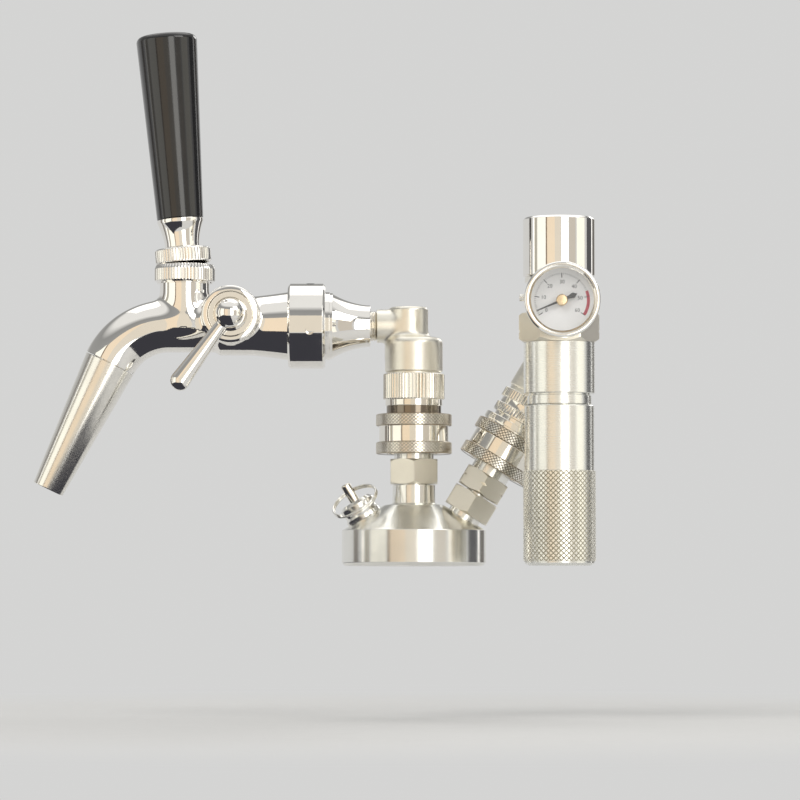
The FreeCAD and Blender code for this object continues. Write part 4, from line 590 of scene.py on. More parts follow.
    def cast(self, axis: Axis, form: Field, low: Triple, high: Triple, cell: float) -> "Shell":
        """Casts a form that is given by its distance field.

        Args:
            axis: The frame of the field.
            form: Gives the distance at an array of points, negative inside.
            low: Lowest corner of the space that is searched.
            high: Highest corner of it.
            cell: Size of the cells that it is searched with.

        Returns:
            This shell.
        """
        steps = [np.arange(start, end + cell, cell) for start, end in zip(low, high)]
        grid = np.stack(np.meshgrid(*steps, indexing="ij"), axis=3)
        inside = form(grid.reshape(-1, 3)).reshape(grid.shape[:3]) < 0
        corners = [inside[i:inside.shape[0] - 1 + i, j:inside.shape[1] - 1 + j, k:inside.shape[2] - 1 + k]
                   for i in (0, 1) for j in (0, 1) for k in (0, 1)]
        total = sum(corner.astype(int) for corner in corners)
        active = (total > 0) & (total < 8)
        number = np.full(active.shape, -1)
        number[active] = np.arange(active.sum())
        points = grid[:-1, :-1, :-1][active] + cell / 2
        for _ in range(PROJECTIONS):
            value, slope = self._slope(form, points, cell)
            points = points - slope * (value / np.maximum((slope**2).sum(1), LEAST_SLOPE))[:, None]
        slope = self._slope(form, points, cell)[1]
        faces = []
        for direction in range(3):
            first = np.take(inside, range(inside.shape[direction] - 1), direction)
            second = np.take(inside, range(1, inside.shape[direction]), direction)
            one, two = [other for other in range(3) if other != direction]
            for flip, where in ((False, first & ~second), (True, ~first & second)):
                cells = np.argwhere(where)
                cells = cells[(cells[:, one] > 0) & (cells[:, two] > 0)]
                cells = cells[(cells[:, one] < active.shape[one]) & (cells[:, two] < active.shape[two])]
                around = []
                for back in ((0, 0), (1, 0), (1, 1), (0, 1)):
                    moved = cells.copy()
                    moved[:, one] -= back[0]
                    moved[:, two] -= back[1]
                    around.append(number[tuple(moved.T)])
                quads = np.stack(around, axis=1)
                quads = quads[(quads >= 0).all(axis=1)]
                faces.append(quads[:, ::-1] if flip == (direction != 1) else quads)
        quads = np.concatenate(faces)
        world = axis.place(points)
        outward = slope / np.maximum(np.linalg.norm(slope, axis=1), LEAST_SLOPE)[:, None] @ axis.basis()
        edge = world[quads[:, 1]] - world[quads[:, 0]]
        other = world[quads[:, 3]] - world[quads[:, 0]]
        wrong = (np.cross(edge, other) * outward[quads[:, 0]]).sum(1) < 0
        quads[wrong] = quads[wrong][:, ::-1]
        self.add(world, quads.tolist(), 0)
        self.normals.append(outward)
        return self

    @staticmethod
    def _slope(form: Field, points: np.ndarray, cell: float) -> tuple[np.ndarray, np.ndarray]:
        """Measures a field at some points.

        Args:
            form: The field.
            points: The points, one row each.
            cell: Size of the cells that it is searched with.

        Returns:
            Its values and its slopes.
        """
        step = cell * 0.05
        slopes = []
        for direction in range(3):
            shift = np.zeros(3)
            shift[direction] = step
            slopes.append((form(points + shift) - form(points - shift)) / (2 * step))
        return form(points), np.stack(slopes, axis=1)

    def lettered(self, axis: Axis, text: str, size: float, at: tuple[float, float]) -> "Shell":
        """Prints a number on a flat face, in the second finish.

        Args:
            axis: The frame whose XY plane is the face.
            text: The number.
            size: Height of the letters' line.
            at: Centre of the number.

        Returns:
            This shell.
        """
        curve = bpy.data.curves.new("print", "FONT")
        curve.body, curve.size = text, size
        curve.align_x = curve.align_y = "CENTER"
        curve.resolution_u = 3
        letters = bpy.data.objects.new("print", curve)
        mesh = bpy.data.meshes.new_from_object(letters)
        flat = np.array([tuple(vertex.co) for vertex in mesh.vertices])
        flat = np.column_stack([flat[:, 0] + at[0], flat[:, 1] + at[1], flat[:, 2]])
        self.add(axis.place(flat), [list(face.vertices) for face in mesh.polygons], 1)
        bpy.data.objects.remove(letters)
        bpy.data.curves.remove(curve)
        bpy.data.meshes.remove(mesh)
        return self

    def pierce(self, axis: Axis, radius: float, depth: float) -> None:
        """Notes a round hole that is drilled when the piece is made."""
        self.holes.append((axis, radius, depth))

    def _drill(self, piece: bpy.types.Object) -> None:
        """Drills the noted holes.

        Args:
            piece: The object that they go into.
        """
        bit = Shell("drill_bit")
        for axis, radius, depth in self.holes:
            bit.turned(axis, [(0.0, 0.0), (radius, 0.0), (radius, depth), (0.0, depth)], 40, 0, 0.0)
        mesh = bpy.data.meshes.new("drill_bit")
        mesh.from_pydata((np.concatenate(bit.points) * MM).tolist(), [], bit.faces)
        weld(mesh, True)
        cutter = stand("drill_bit", mesh)
        cut = piece.modifiers.new("drilled", "BOOLEAN")
        cut.operation, cut.solver, cut.object = "DIFFERENCE", "EXACT", cutter
        drilled = bpy.data.meshes.new_from_object(piece.evaluated_get(bpy.context.evaluated_depsgraph_get()))
        piece.modifiers.remove(cut)
        piece.data = drilled
        bpy.data.objects.remove(cutter)

    def make(self, body: str, slot: str, finishes: Sequence["Finish"], *nodes: str) -> bpy.types.Object:
        """Makes the object, dresses it and ties it to the frame.

        Args:
            body: The body that it rides on.
            slot: The record's slot that its finish comes from; not used.
            finishes: Its finishes, in the order of the marks.
            nodes: The nodes of the frame that it stands for.

        Returns:
            The new object.
        """
        mesh = bpy.data.meshes.new(self.name)
        points = np.concatenate(self.points) * MM
        places = np.concatenate(self.maps)
        mesh.from_pydata(points.tolist(), [], self.faces)
        chart = mesh.uv_layers.new(name="turning")
        corners = np.zeros(len(mesh.loops), np.int32)
        mesh.loops.foreach_get("vertex_index", corners)
        chart.data.foreach_set("uv", places[corners].ravel())
        for finish in finishes:
            mesh.materials.append(finish.material())
        mesh.polygons.foreach_set("material_index", self.marks)
        mesh.polygons.foreach_set("use_smooth", [True] * len(self.marks))
        piece = stand(self.name, mesh)
        if self.normals:
            mesh.normals_split_custom_set_from_vertices(np.concatenate(self.normals).tolist())
        else:
            weld(mesh)
            if self.holes:
                self._drill(piece)
                mesh = piece.data
            mesh.set_sharp_from_angle(angle=math.radians(self.crease))
            weighted = piece.modifiers.new("even_shading", "WEIGHTED_NORMAL")
            weighted.keep_sharp = True
        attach(piece, body)
        if nodes:
            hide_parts(*nodes)
        LOG.info("%s: %d faces on %s", self.name, len(mesh.polygons), body)
        return piece


class Pattern(Enum):
    """How the fine marks of a surface run."""

    POLISHED = "polished"
    TURNED = "turned"
    CAST = "cast"


@dataclass(frozen=True)
class Finish:
    """A surface with its colour, its gloss and its fine marks.

    Args:
        name: The material's name.
        colour: Its colour, linear.
        tint: The colour that it drifts towards in places.
        roughness: Its mean roughness.
        spread: How far the roughness drifts.
        pattern: How its marks run.
        relief: How strongly the marks stand out.
        pitch: Size of the marks in millimetres.
        pull: How far highlights are drawn out across turned marks.
        coat: Strength of a clear gloss on top.
        metallic: 1 for metal, 0 for anything else.
    """

    name: str
    colour: Triple
    tint: Triple
    roughness: float
    spread: float
    pattern: Pattern
    relief: float
    pitch: float
    pull: float = 0.0
    coat: float = 0.0
    metallic: float = 1.0

    def material(self) -> bpy.types.Material:
        """Returns the finish's material, made once."""
        title = f"{self.name}_surface"
        made = bpy.data.materials.get(title)
        if made:
            return made
        made = bpy.data.materials.new(title)
        made.use_nodes = True
        tree = made.node_tree
        shader = tree.nodes["Principled BSDF"]
        shader.inputs["Metallic"].default_value = self.metallic
        where = add_node(tree, "ShaderNodeTexCoord", {})
        cloud = self._noise(tree, where.outputs["Object"], (CLOUDS,) * 3, 4.0)
        if self.pattern is Pattern.TURNED:
            marks = self._noise(tree, where.outputs["UV"], (0.5, 1.0 / CHART / self.pitch, 1.0), 2.0)
        else:
            marks = self._noise(tree, where.outputs["Object"], (1000.0 / self.pitch,) * 3, 3.0)
        drift = add_node(tree, "ShaderNodeMix", {
            "A": (*self.colour, 1.0), "B": (*self.tint, 1.0),
            "Factor": self._range(tree, cloud, (0.35, 0.7), (0.0, 1.0)),
        }, data_type="RGBA")
        tree.links.new(drift.outputs["Result"], shader.inputs["Base Color"])
        both = add_node(tree, "ShaderNodeMath", {0: cloud, 1: marks}, operation="ADD")
        gloss = (max(self.roughness - self.spread, 0.01), self.roughness + self.spread)
        tree.links.new(self._range(tree, both.outputs[0], (0.7, 1.3), gloss), shader.inputs["Roughness"])
        bump = add_node(tree, "ShaderNodeBump", {
            "Strength": self.relief, "Distance": self.pitch * 0.4 * MM, "Height": marks,
        })
        tree.links.new(bump.outputs["Normal"], shader.inputs["Normal"])
        if self.pull:
            tangent = add_node(tree, "ShaderNodeTangent", {}, direction_type="UV_MAP", uv_map="turning")
            tree.links.new(tangent.outputs["Tangent"], shader.inputs["Tangent"])
            shader.inputs["Anisotropic"].default_value = self.pull
            shader.inputs["Anisotropic Rotation"].default_value = QUARTER_TURN
        if self.coat:
            shader.inputs["Coat Weight"].default_value = self.coat
            shader.inputs["Coat Roughness"].default_value = COAT_ROUGHNESS
        self._extras(shader)
        return made

    def _extras(self, shader: bpy.types.Node) -> None:
        """Sets what only some finishes need."""

    @staticmethod
    def _noise(
        tree: bpy.types.NodeTree, source: bpy.types.NodeSocket, scale: Triple, detail: float,
    ) -> bpy.types.NodeSocket:
        """Adds a noise.

        Args:
            tree: The material's nodes.
            source: The places that it is read at.
            scale: Its scale in each direction.
            detail: How many finer layers it has.

        Returns:
            Its value.
        """
        mapping = add_node(tree, "ShaderNodeMapping", {"Vector": source, "Scale": scale})
        spot = mapping.outputs["Vector"]
        return add_node(tree, "ShaderNodeTexNoise", {"Vector": spot, "Scale": 1.0, "Detail": detail}).outputs["Fac"]

    @staticmethod
    def _range(
        tree: bpy.types.NodeTree, source: bpy.types.NodeSocket, given: tuple[float, float], wanted: tuple[float, float],
    ) -> bpy.types.NodeSocket:
        """Maps a value from one range to another.

        Args:
            tree: The material's nodes.
            source: The value.
            given: The range that it has.
            wanted: The range that it gets.

        Returns:
            The mapped value.
        """
        return add_node(tree, "ShaderNodeMapRange", {
            "Value": source, "From Min": given[0], "From Max": given[1], "To Min": wanted[0], "To Max": wanted[1],
        }).outputs["Result"]


@dataclass(frozen=True)
class Glass(Finish):
    """A clear lens."""

    def _extras(self, shader: bpy.types.Node) -> None:
        """Lets the light through."""
        shader.inputs["Alpha"].default_value = 0.05
        shader.inputs["IOR"].default_value = 1.5


TURNED_STEEL = Finish(
    "turned_steel", (0.90, 0.89, 0.85), (0.86, 0.85, 0.81), 0.20, 0.04, Pattern.TURNED, 0.05, 0.12, 0.6)
SPOUT_STEEL = Finish(
    "spout_steel", (0.90, 0.88, 0.83), (0.86, 0.84, 0.79), 0.20, 0.03, Pattern.TURNED, 0.02, 0.15, 0.4)
CONE_STEEL = Finish(
    "cone_steel", (0.91, 0.90, 0.84), (0.87, 0.86, 0.80), 0.22, 0.05, Pattern.TURNED, 0.18, 0.45, 0.75)
NICKEL = Finish(
    "nickel", (0.91, 0.88, 0.81), (0.87, 0.84, 0.77), 0.10, 0.02, Pattern.TURNED, 0.03, 0.15, 0.5)
MILLED_NICKEL = Finish(
    "milled_nickel", (0.85, 0.81, 0.72), (0.81, 0.77, 0.68), 0.32, 0.04, Pattern.CAST, 0.05, 0.3)
KNURLED_NICKEL = Finish(
    "knurled_nickel", (0.96, 0.93, 0.85), (0.93, 0.90, 0.82), 0.26, 0.04, Pattern.CAST, 0.02, 0.2)
# Darker tan finish for the knurls' groove faces: painted shade in the grooves.
KNURL_GROOVE_SHADE = Finish(
    "knurl_groove_shade", (0.42, 0.35, 0.25), (0.38, 0.31, 0.22), 0.34, 0.05, Pattern.CAST, 0.03, 0.2)
# Dark brown steel for the band over the liquid socket's recess: painted shade in the recess.
RECESS_SHADE_STEEL = Finish(
    "recess_shade_steel", (0.26, 0.22, 0.18), (0.22, 0.19, 0.15), 0.12, 0.03, Pattern.TURNED, 0.03, 0.15, 0.4)
CAST_NICKEL = Finish(
    "cast_nickel", (0.90, 0.87, 0.78), (0.87, 0.84, 0.75), 0.36, 0.05, Pattern.CAST, 0.22, 0.35)
CHROME = Finish(
    "chrome", (0.94, 0.92, 0.88), (0.91, 0.89, 0.85), 0.05, 0.015, Pattern.POLISHED, 0.006, 1.2)
HANDLE_BLACK = Finish(
    "handle_black", (0.010, 0.010, 0.011), (0.014, 0.013, 0.013), 0.16, 0.03, Pattern.POLISHED, 0.004, 1.5,
    coat=0.5, metallic=0.0)
ALLOY = Finish(
    "alloy", (0.90, 0.90, 0.86), (0.87, 0.87, 0.83), 0.27, 0.02, Pattern.TURNED, 0.015, 0.18, 0.5)
KNURLED_ALLOY = Finish(
    "knurled_alloy", (0.95, 0.94, 0.88), (0.92, 0.91, 0.85), 0.28, 0.05, Pattern.CAST, 0.06, 0.2)
# Darker finish for the grip knurl's groove faces: painted shade in the grooves.
ALLOY_GROOVE_SHADE = Finish(
    "alloy_groove_shade", (0.74, 0.72, 0.65), (0.70, 0.68, 0.61), 0.36, 0.05, Pattern.CAST, 0.03, 0.2)
GAUGE_METAL = Finish(
    "gauge_metal", (0.94, 0.93, 0.90), (0.91, 0.90, 0.87), 0.10, 0.03, Pattern.POLISHED, 0.01, 0.6)
RUBBER = Finish(
    "seal_rubber", (0.018, 0.018, 0.019), (0.03, 0.03, 0.03), 0.55, 0.08, Pattern.CAST, 0.2, 0.2, metallic=0.0)
SPRING_STEEL = Finish(
    "spring_steel", (0.90, 0.89, 0.85), (0.84, 0.83, 0.79), 0.13, 0.04, Pattern.CAST, 0.04, 0.3)
BRASS = Finish(
    "brass", (0.84, 0.66, 0.42), (0.77, 0.59, 0.36), 0.26, 0.06, Pattern.CAST, 0.08, 0.3)
PLATED_BRASS = Finish(
    "plated_brass", (0.88, 0.85, 0.77), (0.82, 0.78, 0.70), 0.16, 0.05, Pattern.CAST, 0.05, 0.3)
DIAL_WHITE = Finish(
    "dial_white", (0.94, 0.935, 0.93), (0.92, 0.915, 0.91), 0.5, 0.05, Pattern.CAST, 0.02, 0.4, metallic=0.0)
DIAL_GREY = Finish(
    "dial_print", (0.035, 0.035, 0.04), (0.05, 0.05, 0.055), 0.6, 0.05, Pattern.CAST, 0.03, 0.4, metallic=0.0)
DIAL_RED = Finish(
    "dial_red", (0.62, 0.05, 0.085), (0.57, 0.045, 0.075), 0.6, 0.05, Pattern.CAST, 0.03, 0.4, metallic=0.0)
NEEDLE_DARK = Finish(
    "needle_dark", (0.02, 0.02, 0.022), (0.03, 0.03, 0.03), 0.4, 0.05, Pattern.CAST, 0.03, 0.4, metallic=0.0)
CARTRIDGE_STEEL = Finish(
    "cartridge_steel", (0.58, 0.57, 0.55), (0.48, 0.47, 0.45), 0.3, 0.08, Pattern.CAST, 0.1, 0.5)
STUDIO_PAPER = Finish(
    "studio_paper", (0.59, 0.59, 0.585), (0.58, 0.58, 0.575), 0.9, 0.02, Pattern.CAST, 0.0, 5.0, metallic=0.0)
THREAD_STEEL = Finish(
    "thread_steel", (0.86, 0.82, 0.74), (0.76, 0.72, 0.64), 0.16, 0.05, Pattern.TURNED, 0.06, 0.2)
LENS = Glass(
    "lens", (1.0, 1.0, 1.0), (0.98, 0.99, 0.99), 0.03, 0.01, Pattern.POLISHED, 0.0, 2.0, metallic=0.0)


def thread(radius: float, low: float, high: float, pitch: float, depth: float, upward: bool = True) -> list[Corner]:
    """Corners of a fine thread, drawn as rings.

    Args:
        radius: Radius of its crests.
        low: Its lower end.
        high: Its upper end.
        pitch: Distance between crests.
        depth: Depth of the grooves.
        upward: Whether the outline runs upward here.

    Returns:
        The corners in the order of the outline.
    """
    corners: list[Corner] = []
    height = low
    while height + pitch <= high + TINY:
        corners.append((radius - depth, height, 0.0))
        corners += [(radius, height + pitch * share, 0.05) for share in (0.4, 0.6)]
        height += pitch
    corners.append((radius - depth, height, 0.0))
    return corners if upward else corners[::-1]


@dataclass
class Cap:
    """The turned cap that screws on the keg's neck."""

    radius: float = 29.5
    wall: float = 14.5
    chamfer: float = 1.3
    bore: float = 22.0
    bore_depth: float = 9.5
    ceiling: float = 11.7
    cone_top: float = 24.7146
    cone_radius: float = 12.5
    crown: float = 25.5146
    boss_radius: float = 8.8
    boss_top: float = 33.0146
    socket: float = 6.55
    passage: float = 4.0
    socket_floor: float = 24.0
    pitch: float = 1.5

    def build(self) -> None:
        """Turns the cap."""
        groove = self.bore + 0.6
        shell = Shell("keg_cap")
        shell.turned(UPRIGHT, [
            (self.bore, 0.0, 0.3), (self.radius - self.chamfer, 0.0, 0.3), (self.radius, self.chamfer, 0.4),
            (self.radius, self.wall, 0.35), (self.radius - 1.2, self.wall + 0.72, 0.0),
            (self.cone_radius, self.cone_top, 0.3), (self.boss_radius, self.crown, 0.4),
            (self.boss_radius, self.boss_top, 0.3), (self.socket, self.boss_top, 0.1),
            (self.socket, self.socket_floor), (self.passage, self.socket_floor),
            (self.passage, self.ceiling), (groove, self.ceiling), (groove, self.bore_depth),
        ] + thread(self.bore + 0.3, 1.5, self.bore_depth - 1.0, self.pitch, 0.5, False), 256)
        piece = shell.make("cap", "turned_steel", [TURNED_STEEL, CONE_STEEL], "cap")
        for face in piece.data.polygons:
            middle = face.center / MM
            if self.wall + 0.5 < middle.z < self.crown + 0.3 and face.normal.z > 0.5:
                face.material_index = 1


@dataclass
class Post:
    """A ball-lock post with its hexagon.

    Args:
        side: Which post it is, liquid or gas.
        axis: Its frame, with the hexagon's foot at its start.
        flats: Width across flats.
        hexagon: Height of the hexagon.
        gap: Distance from the hexagon to the locking sleeve.
        notch: Depth of the groove that marks a gas post.
        foot: How far its shank goes down.
    """

    side: str
    axis: Axis
    flats: float
    hexagon: float
    gap: float
    notch: float
    foot: float
    radius: float = 8.2
    length: float = 18.4
    bore: float = 4.6
    port: float = 3.0
    ball_height: float = 5.2
    ball_sink: float = 0.6
    seal_drop: float = 3.0
    seal_sink: float = 1.3
    seal_half: float = 0.7

    def build(self) -> None:
        """Turns the stem and mills the hexagon."""
        shell = Shell(f"{self.side}_post_body")
        groove = (self.hexagon / 2, self.notch)
        shell.hexagonal(self.axis, self.flats, (0.0, self.hexagon), 5.5, groove, CORNER_FIRST)
        start, ball, top = self.hexagon, self.hexagon + self.gap + self.ball_height, self.hexagon + self.length
        low, high = top - self.seal_drop - self.seal_half, top - self.seal_drop + self.seal_half
        outer, inner = self.radius, 6.5 if self.side == "liquid" else 6.0
        sunk, deep = outer - self.ball_sink, outer - self.seal_sink
        shell.turned(self.axis, [
            (self.port, self.foot), (inner, self.foot), (inner, start - 0.3), (outer, start - 0.3),
            (outer, ball - 2.6), (sunk, ball - 2.0), (sunk, ball + 2.0), (outer, ball + 2.6), (outer, low),
            (deep, low), (deep, high), (outer, high), (outer, top - 0.8), (outer - 0.8, top), (self.bore, top),
            (self.bore, start + 2.0), (self.port, start + 2.0),
        ], 96)
        shell.make("cap", "turned_steel", [TURNED_STEEL, MILLED_NICKEL], f"{self.side}_post")


@dataclass
class PostAdapter:
    """The hexagonal adapter between the cap and the gas post."""

    flats: float = 19.2
    neck: float = 1.5
    neck_radius: float = 7.0
    top: float = 10.4
    shank: float = 5.0
    bore: float = 3.0

    def build(self) -> None:
        """Turns and mills the adapter."""
        shell = Shell("gas_post_adapter_body")
        shell.hexagonal(GAS_PORT, self.flats, (self.neck, self.top), 4.0, turn=CORNER_FIRST)
        end = self.top + 4.6
        shell.turned(GAS_PORT, [
            (self.bore, -5.0), (self.shank, -5.0), (self.shank, -0.6), (self.neck_radius, -0.6),
            (self.neck_radius, self.neck + 0.3), (self.shank, self.neck + 0.3), (self.shank, end), (self.bore, end),
        ], 96)
        shell.make("cap", "turned_steel", [TURNED_STEEL, MILLED_NICKEL], "gas_post_adapter")


@dataclass
class ReliefValve:
    """The relief valve with its pull ring."""

    radius: float = 7.5
    height: float = 7.4
    ring_radius: float = 9.7
    wire: float = 0.46
    hole_height: float = 12.0
    droop: float = 29.0
    start: float = 150.0
    turns: float = 1.93
    waist: float = 6.9

    def build(self) -> None:
        """Turns the body and winds the ring."""
        Shell("relief_valve_body").turned(RELIEF_PORT, [
            (2.5, -5.0), (5.0, -5.0), (5.0, -0.6), (self.radius, -0.6), (self.radius, 1.2, 0.5),
            (self.waist, 2.2, 0.5), (self.waist, 3.2, 0.4), (self.radius, 4.0, 0.3),
            (self.radius, self.height - 1.4, 0.3), (self.radius - 1.4, self.height, 0.2),
            (2.2, self.height), (2.2, 5.9), (3.6, 5.9), (3.6, -3.0), (2.5, -3.0),
        ], 96).make("cap", "turned_steel", [TURNED_STEEL], "relief_body")
        across, side, up = RELIEF_PORT.basis()
        lean = math.radians(self.droop)
        down = side * math.cos(lean) + up * math.sin(lean)
        normal = -side * math.sin(lean) + up * math.cos(lean)
        centre = np.array(RELIEF_PORT.along(self.hole_height).origin) - down * self.ring_radius
        turns = np.linspace(0.0, self.turns * 2 * math.pi, 220)
        share = np.clip((turns / (2 * math.pi) - 0.90) / 0.16, 0.0, 1.0)
        rise = (share * share * (3 - 2 * share) - 0.5) * 2 * self.wire
        angles = turns + math.radians(90 + self.start)
        path = centre + self.ring_radius * (
            np.cos(angles)[:, None] * across + np.sin(angles)[:, None] * down
        ) + rise[:, None] * normal
        ring = Shell("relief_pull_ring", 40.0)
        ring.wire(path, self.wire, 14)
        ring.make("relief_ring", "spring_steel", [SPRING_STEEL], "relief_ring")


@dataclass
class Disconnect:
    """A ball-lock disconnect: knurled sleeve, fluted socket and elbow.

    Args:
        side: Which disconnect it is, liquid or gas.
        axis: Its frame, with the sleeve's lower end at its start.
        body: The body that socket and elbow ride on.
        port: Direction of the elbow's side port.
        port_height: Height of that port.
        top: Top of the elbow's head.
        socket_top: Top of the fluted socket.
        tail: Radius and end of the thread in the side port.
    """

    side: str
    axis: Axis
    body: str
    port: tuple[float, float]
    port_height: float
    top: float
    socket_top: float
    tail: tuple[float, float]
    radius: float = 15.5
    waist: float = 14.25
    length: float = 16.1
    knurl: float = 4.7
    socket: float = 11.2
    flutes: int = 58
    bell: float = 11.8
    head: float = 7.85
    shift: float = 2.0
    port_radius: float = 6.8
    port_reach: float = 15.2
    grip: float = 11.5
    pocket: float = 12.6
    spring_room: float = 13.0
    collar_top: float = 19.55
    tube: float = 8.28
    flange: float = 12.7
    rim: float = 12.55
    band: float = 11.7
    recess: float = 19.6

    def build(self) -> None:
        """Builds sleeve, socket and elbow."""
        self._sleeve()
        self._socket()
        self._elbow()

    def _sleeve(self) -> None:
        """Turns the sleeve and rolls its two knurled rings."""
        shell = Shell(f"{self.side}_locking_sleeve", 24.0)
        under, second = self.radius - 0.6, self.length - self.knurl
        outline: list[Corner] = [
            (self.grip, 0.0, 0.2), (under, 0.0, 0.3), (under, self.knurl, 0.2), (self.waist, self.knurl + 0.1, 0.25),
            (self.waist, second - 0.1, 0.25), (under, second, 0.2), (under, self.length, 0.3),
        ]
        top = self.length
        if self.side == "gas":
            top, neck = self.collar_top, self.waist - 0.5
            outline += [(neck, self.length), (neck, 17.05), (self.waist, 17.05, 0.25), (self.waist, top, 0.35)]
        outline += [
            (self.spring_room, top, 0.2), (self.spring_room, 7.0), (self.grip, 7.0), (self.grip, 4.0),
            (self.pocket, 3.4), (self.pocket, 1.4), (self.grip, 0.8),
        ]
        shell.turned(self.axis, outline, 160)
        for low in (0.45, second + 0.45):
            shell.knurled(self.axis, self.radius, 0.35, (low - 0.2, low + self.knurl - 0.7), 60, 3, 0.77)
        # The third finish paints shade in the knurls' grooves.
        shell.make(f"{self.side}_sleeve", "nickel", [NICKEL, KNURLED_NICKEL, KNURL_GROOVE_SHADE], f"{self.side}_sleeve")

    def _socket(self) -> None:
        """Turns the socket and cuts its flutes; on the liquid socket a thin dark band over the recess paints the shade
        there.
        """
        shell = Shell(f"{self.side}_fluted_socket", 32.0)
        top, rim, band = self.socket_top, self.rim, self.band
        foot: list[Corner] = [
            (self.tube, 0.8), (self.socket, 0.8), (self.socket, 15.3), (self.flange, 15.3), (self.flange, 16.1),
            (self.socket, 16.1),
        ]
        if self.side == "liquid":
            outer: list[Corner] = [
                (self.socket, self.recess), (band, self.recess, 0.2), (band, 22.1), (12.15, 22.1, 0.1),
                (rim, 22.5, 0.2), (rim, top + 0.7, 0.2), (12.15, top + 1.1, 0.2), (11.0, top + 1.1), (11.0, top),
            ]
        else:
            outer = [
                (self.socket, 21.25), (rim, 21.25, 0.3), (rim, 25.25, 0.3), (band, 25.25), (band, 27.85),
                (rim, 27.85, 0.3), (rim, top, 0.3),
            ]
        ends: list[Corner] = [(9.3, top), (9.3, 24.0), (self.tube, 24.0)]
        shell.fluted(self.axis, foot + outer + ends, self.flutes, 0.30, (22.4, top + 1.3), 12.0)
        if self.side == "liquid":
            # A thin band just over the recessed wall takes the dark second finish: painted shade in the recess.
            skin, low = self.socket + 0.03, 16.15
            shell.turned(self.axis, [(10.6, low), (skin, low), (skin, self.recess), (10.6, self.recess)], 128, 1)
        shell.make(self.body, "nickel", [NICKEL, RECESS_SHADE_STEEL], f"{self.side}_socket")

    def _elbow(self) -> None:
        """Casts the elbow's head and port, and turns the bell under it."""
        start = self.socket_top + 1.7
        shoulder = start + 14.3
        dx, dy = self.port

        def form(points: np.ndarray) -> np.ndarray:
            """Distance to the bell, the head and the port together."""
            x, y, z = points.T
            bell = rod(np.hypot(x, y), z, self.bell, shoulder, 2.8)
            head = rod(np.hypot(x - dx * self.shift, y - dy * self.shift), z, self.head, self.top, 1.5)
            along = x * dx + y * dy
            across = np.hypot(x * dy - y * dx, z - self.port_height)
            port = np.maximum(rod(across, along, self.port_radius, self.port_reach - 0.2, 0.4), -along)
            return blend(blend(bell, head, 4.5), port, 2.2)

        reach = self.port_reach + 2.0
        low = (min(dx * reach, -13.0), min(dy * reach, -13.0), start + 5.0)
        high = (max(dx * reach, 13.0), max(dy * reach, 13.0), self.top + 2.0)
        casting = Shell(f"{self.side}_elbow_casting")
        casting.cast(self.axis, form, low, high, 0.55)
        casting.make(self.body, "cast_nickel", [CAST_NICKEL], f"{self.side}_elbow")
        fittings = Shell(f"{self.side}_elbow_bell")
        skin = self.bell + 0.01
        fittings.turned(self.axis, [
            (8.0, self.socket_top), (11.0, self.socket_top), (11.0, start), (self.bell - 0.5, start, 0.2),
            (skin, start + 0.5, 0.3), (skin, start + 6.0, 0.0), (8.0, start + 6.0),
        ], 128)
        basis = self.axis.basis()
        side = Axis(self.axis.along(self.port_height).origin, tuple(basis[0] * dx + basis[1] * dy), tuple(basis[2]))
        bore, port, mouth = 3.2, self.port_radius + 0.01, self.port_reach
        fittings.turned(side, [(bore, mouth - 3.0), (port, mouth - 3.0, 0.0), (port, mouth, 0.35), (bore, mouth)], 96)
        radius, end = self.tail
        crests = thread(6.15, mouth + 0.3, 17.6, 1.05, 0.4)
        fittings.turned(side, [(bore, mouth - 1.0)] + crests + [(bore, 17.8)], 96, 1)
        fittings.turned(side, [(bore, 17.0), (radius, 17.0), (radius, end), (bore, end)], 96, 1)
        fittings.make(self.body, "cast_nickel", [CAST_NICKEL, THREAD_STEEL])


@dataclass
class TapRear:
    """The shank adapter and the coupling nut behind the tap."""

    small: float = 8.55
    flare: float = 13.2
    flare_end: float = 33.2
    start: float = 36.3
    nut_end: float = 51.5
    nut_radius: float = 17.5
    nut_chamfer: float = 0.9
    hole: float = 1.7
    hole_place: float = 42.4
    hole_turn: float = -10.0

    def build(self) -> None:
        """Turns the adapter and the nut, and drills the nut's spanner holes."""
        first, second = self.flare + 0.4, self.flare + 0.8
        Shell("shank_adapter_body").turned(TAP, [
            (6.05, 17.8), (self.small, 17.8, 0.4), *arc((self.small, 19.3), (self.flare, self.flare_end), -34.0),
            (first, self.flare_end, 0.1), (first, 34.5, 0.1), (second, 34.5, 0.1), (second, self.start),
            (14.6, self.start), (14.6, 44.0), (5.2, 44.0), (5.2, 22.85), (6.05, 22.85),
        ], 160).make("tap", "chrome", [CHROME], "shank_adapter")
        edge = self.nut_radius - self.nut_chamfer
        nut = Shell("coupling_nut_body").turned(TAP, [
            (14.9, self.start), (edge, self.start, 0.25), (self.nut_radius, self.start + self.nut_chamfer, 0.35),
            (self.nut_radius, self.nut_end - self.nut_chamfer, 0.35), (edge, self.nut_end, 0.25),
            (14.05, self.nut_end, 0.15), (14.05, self.nut_end - 2.3), (14.9, self.nut_end - 2.3),
        ], 192)
        up, side, along = TAP.basis()
        for turn in np.radians(self.hole_turn + 90.0 * np.arange(4)):
            way = up * math.sin(turn) - side * math.cos(turn)
            middle = np.array(TAP.along(self.hole_place).origin) + way * 10.0
            nut.pierce(Axis(tuple(middle), tuple(way), tuple(along)), self.hole, 12.0)
        nut.make("tap", "chrome", [CHROME], "coupling_nut")


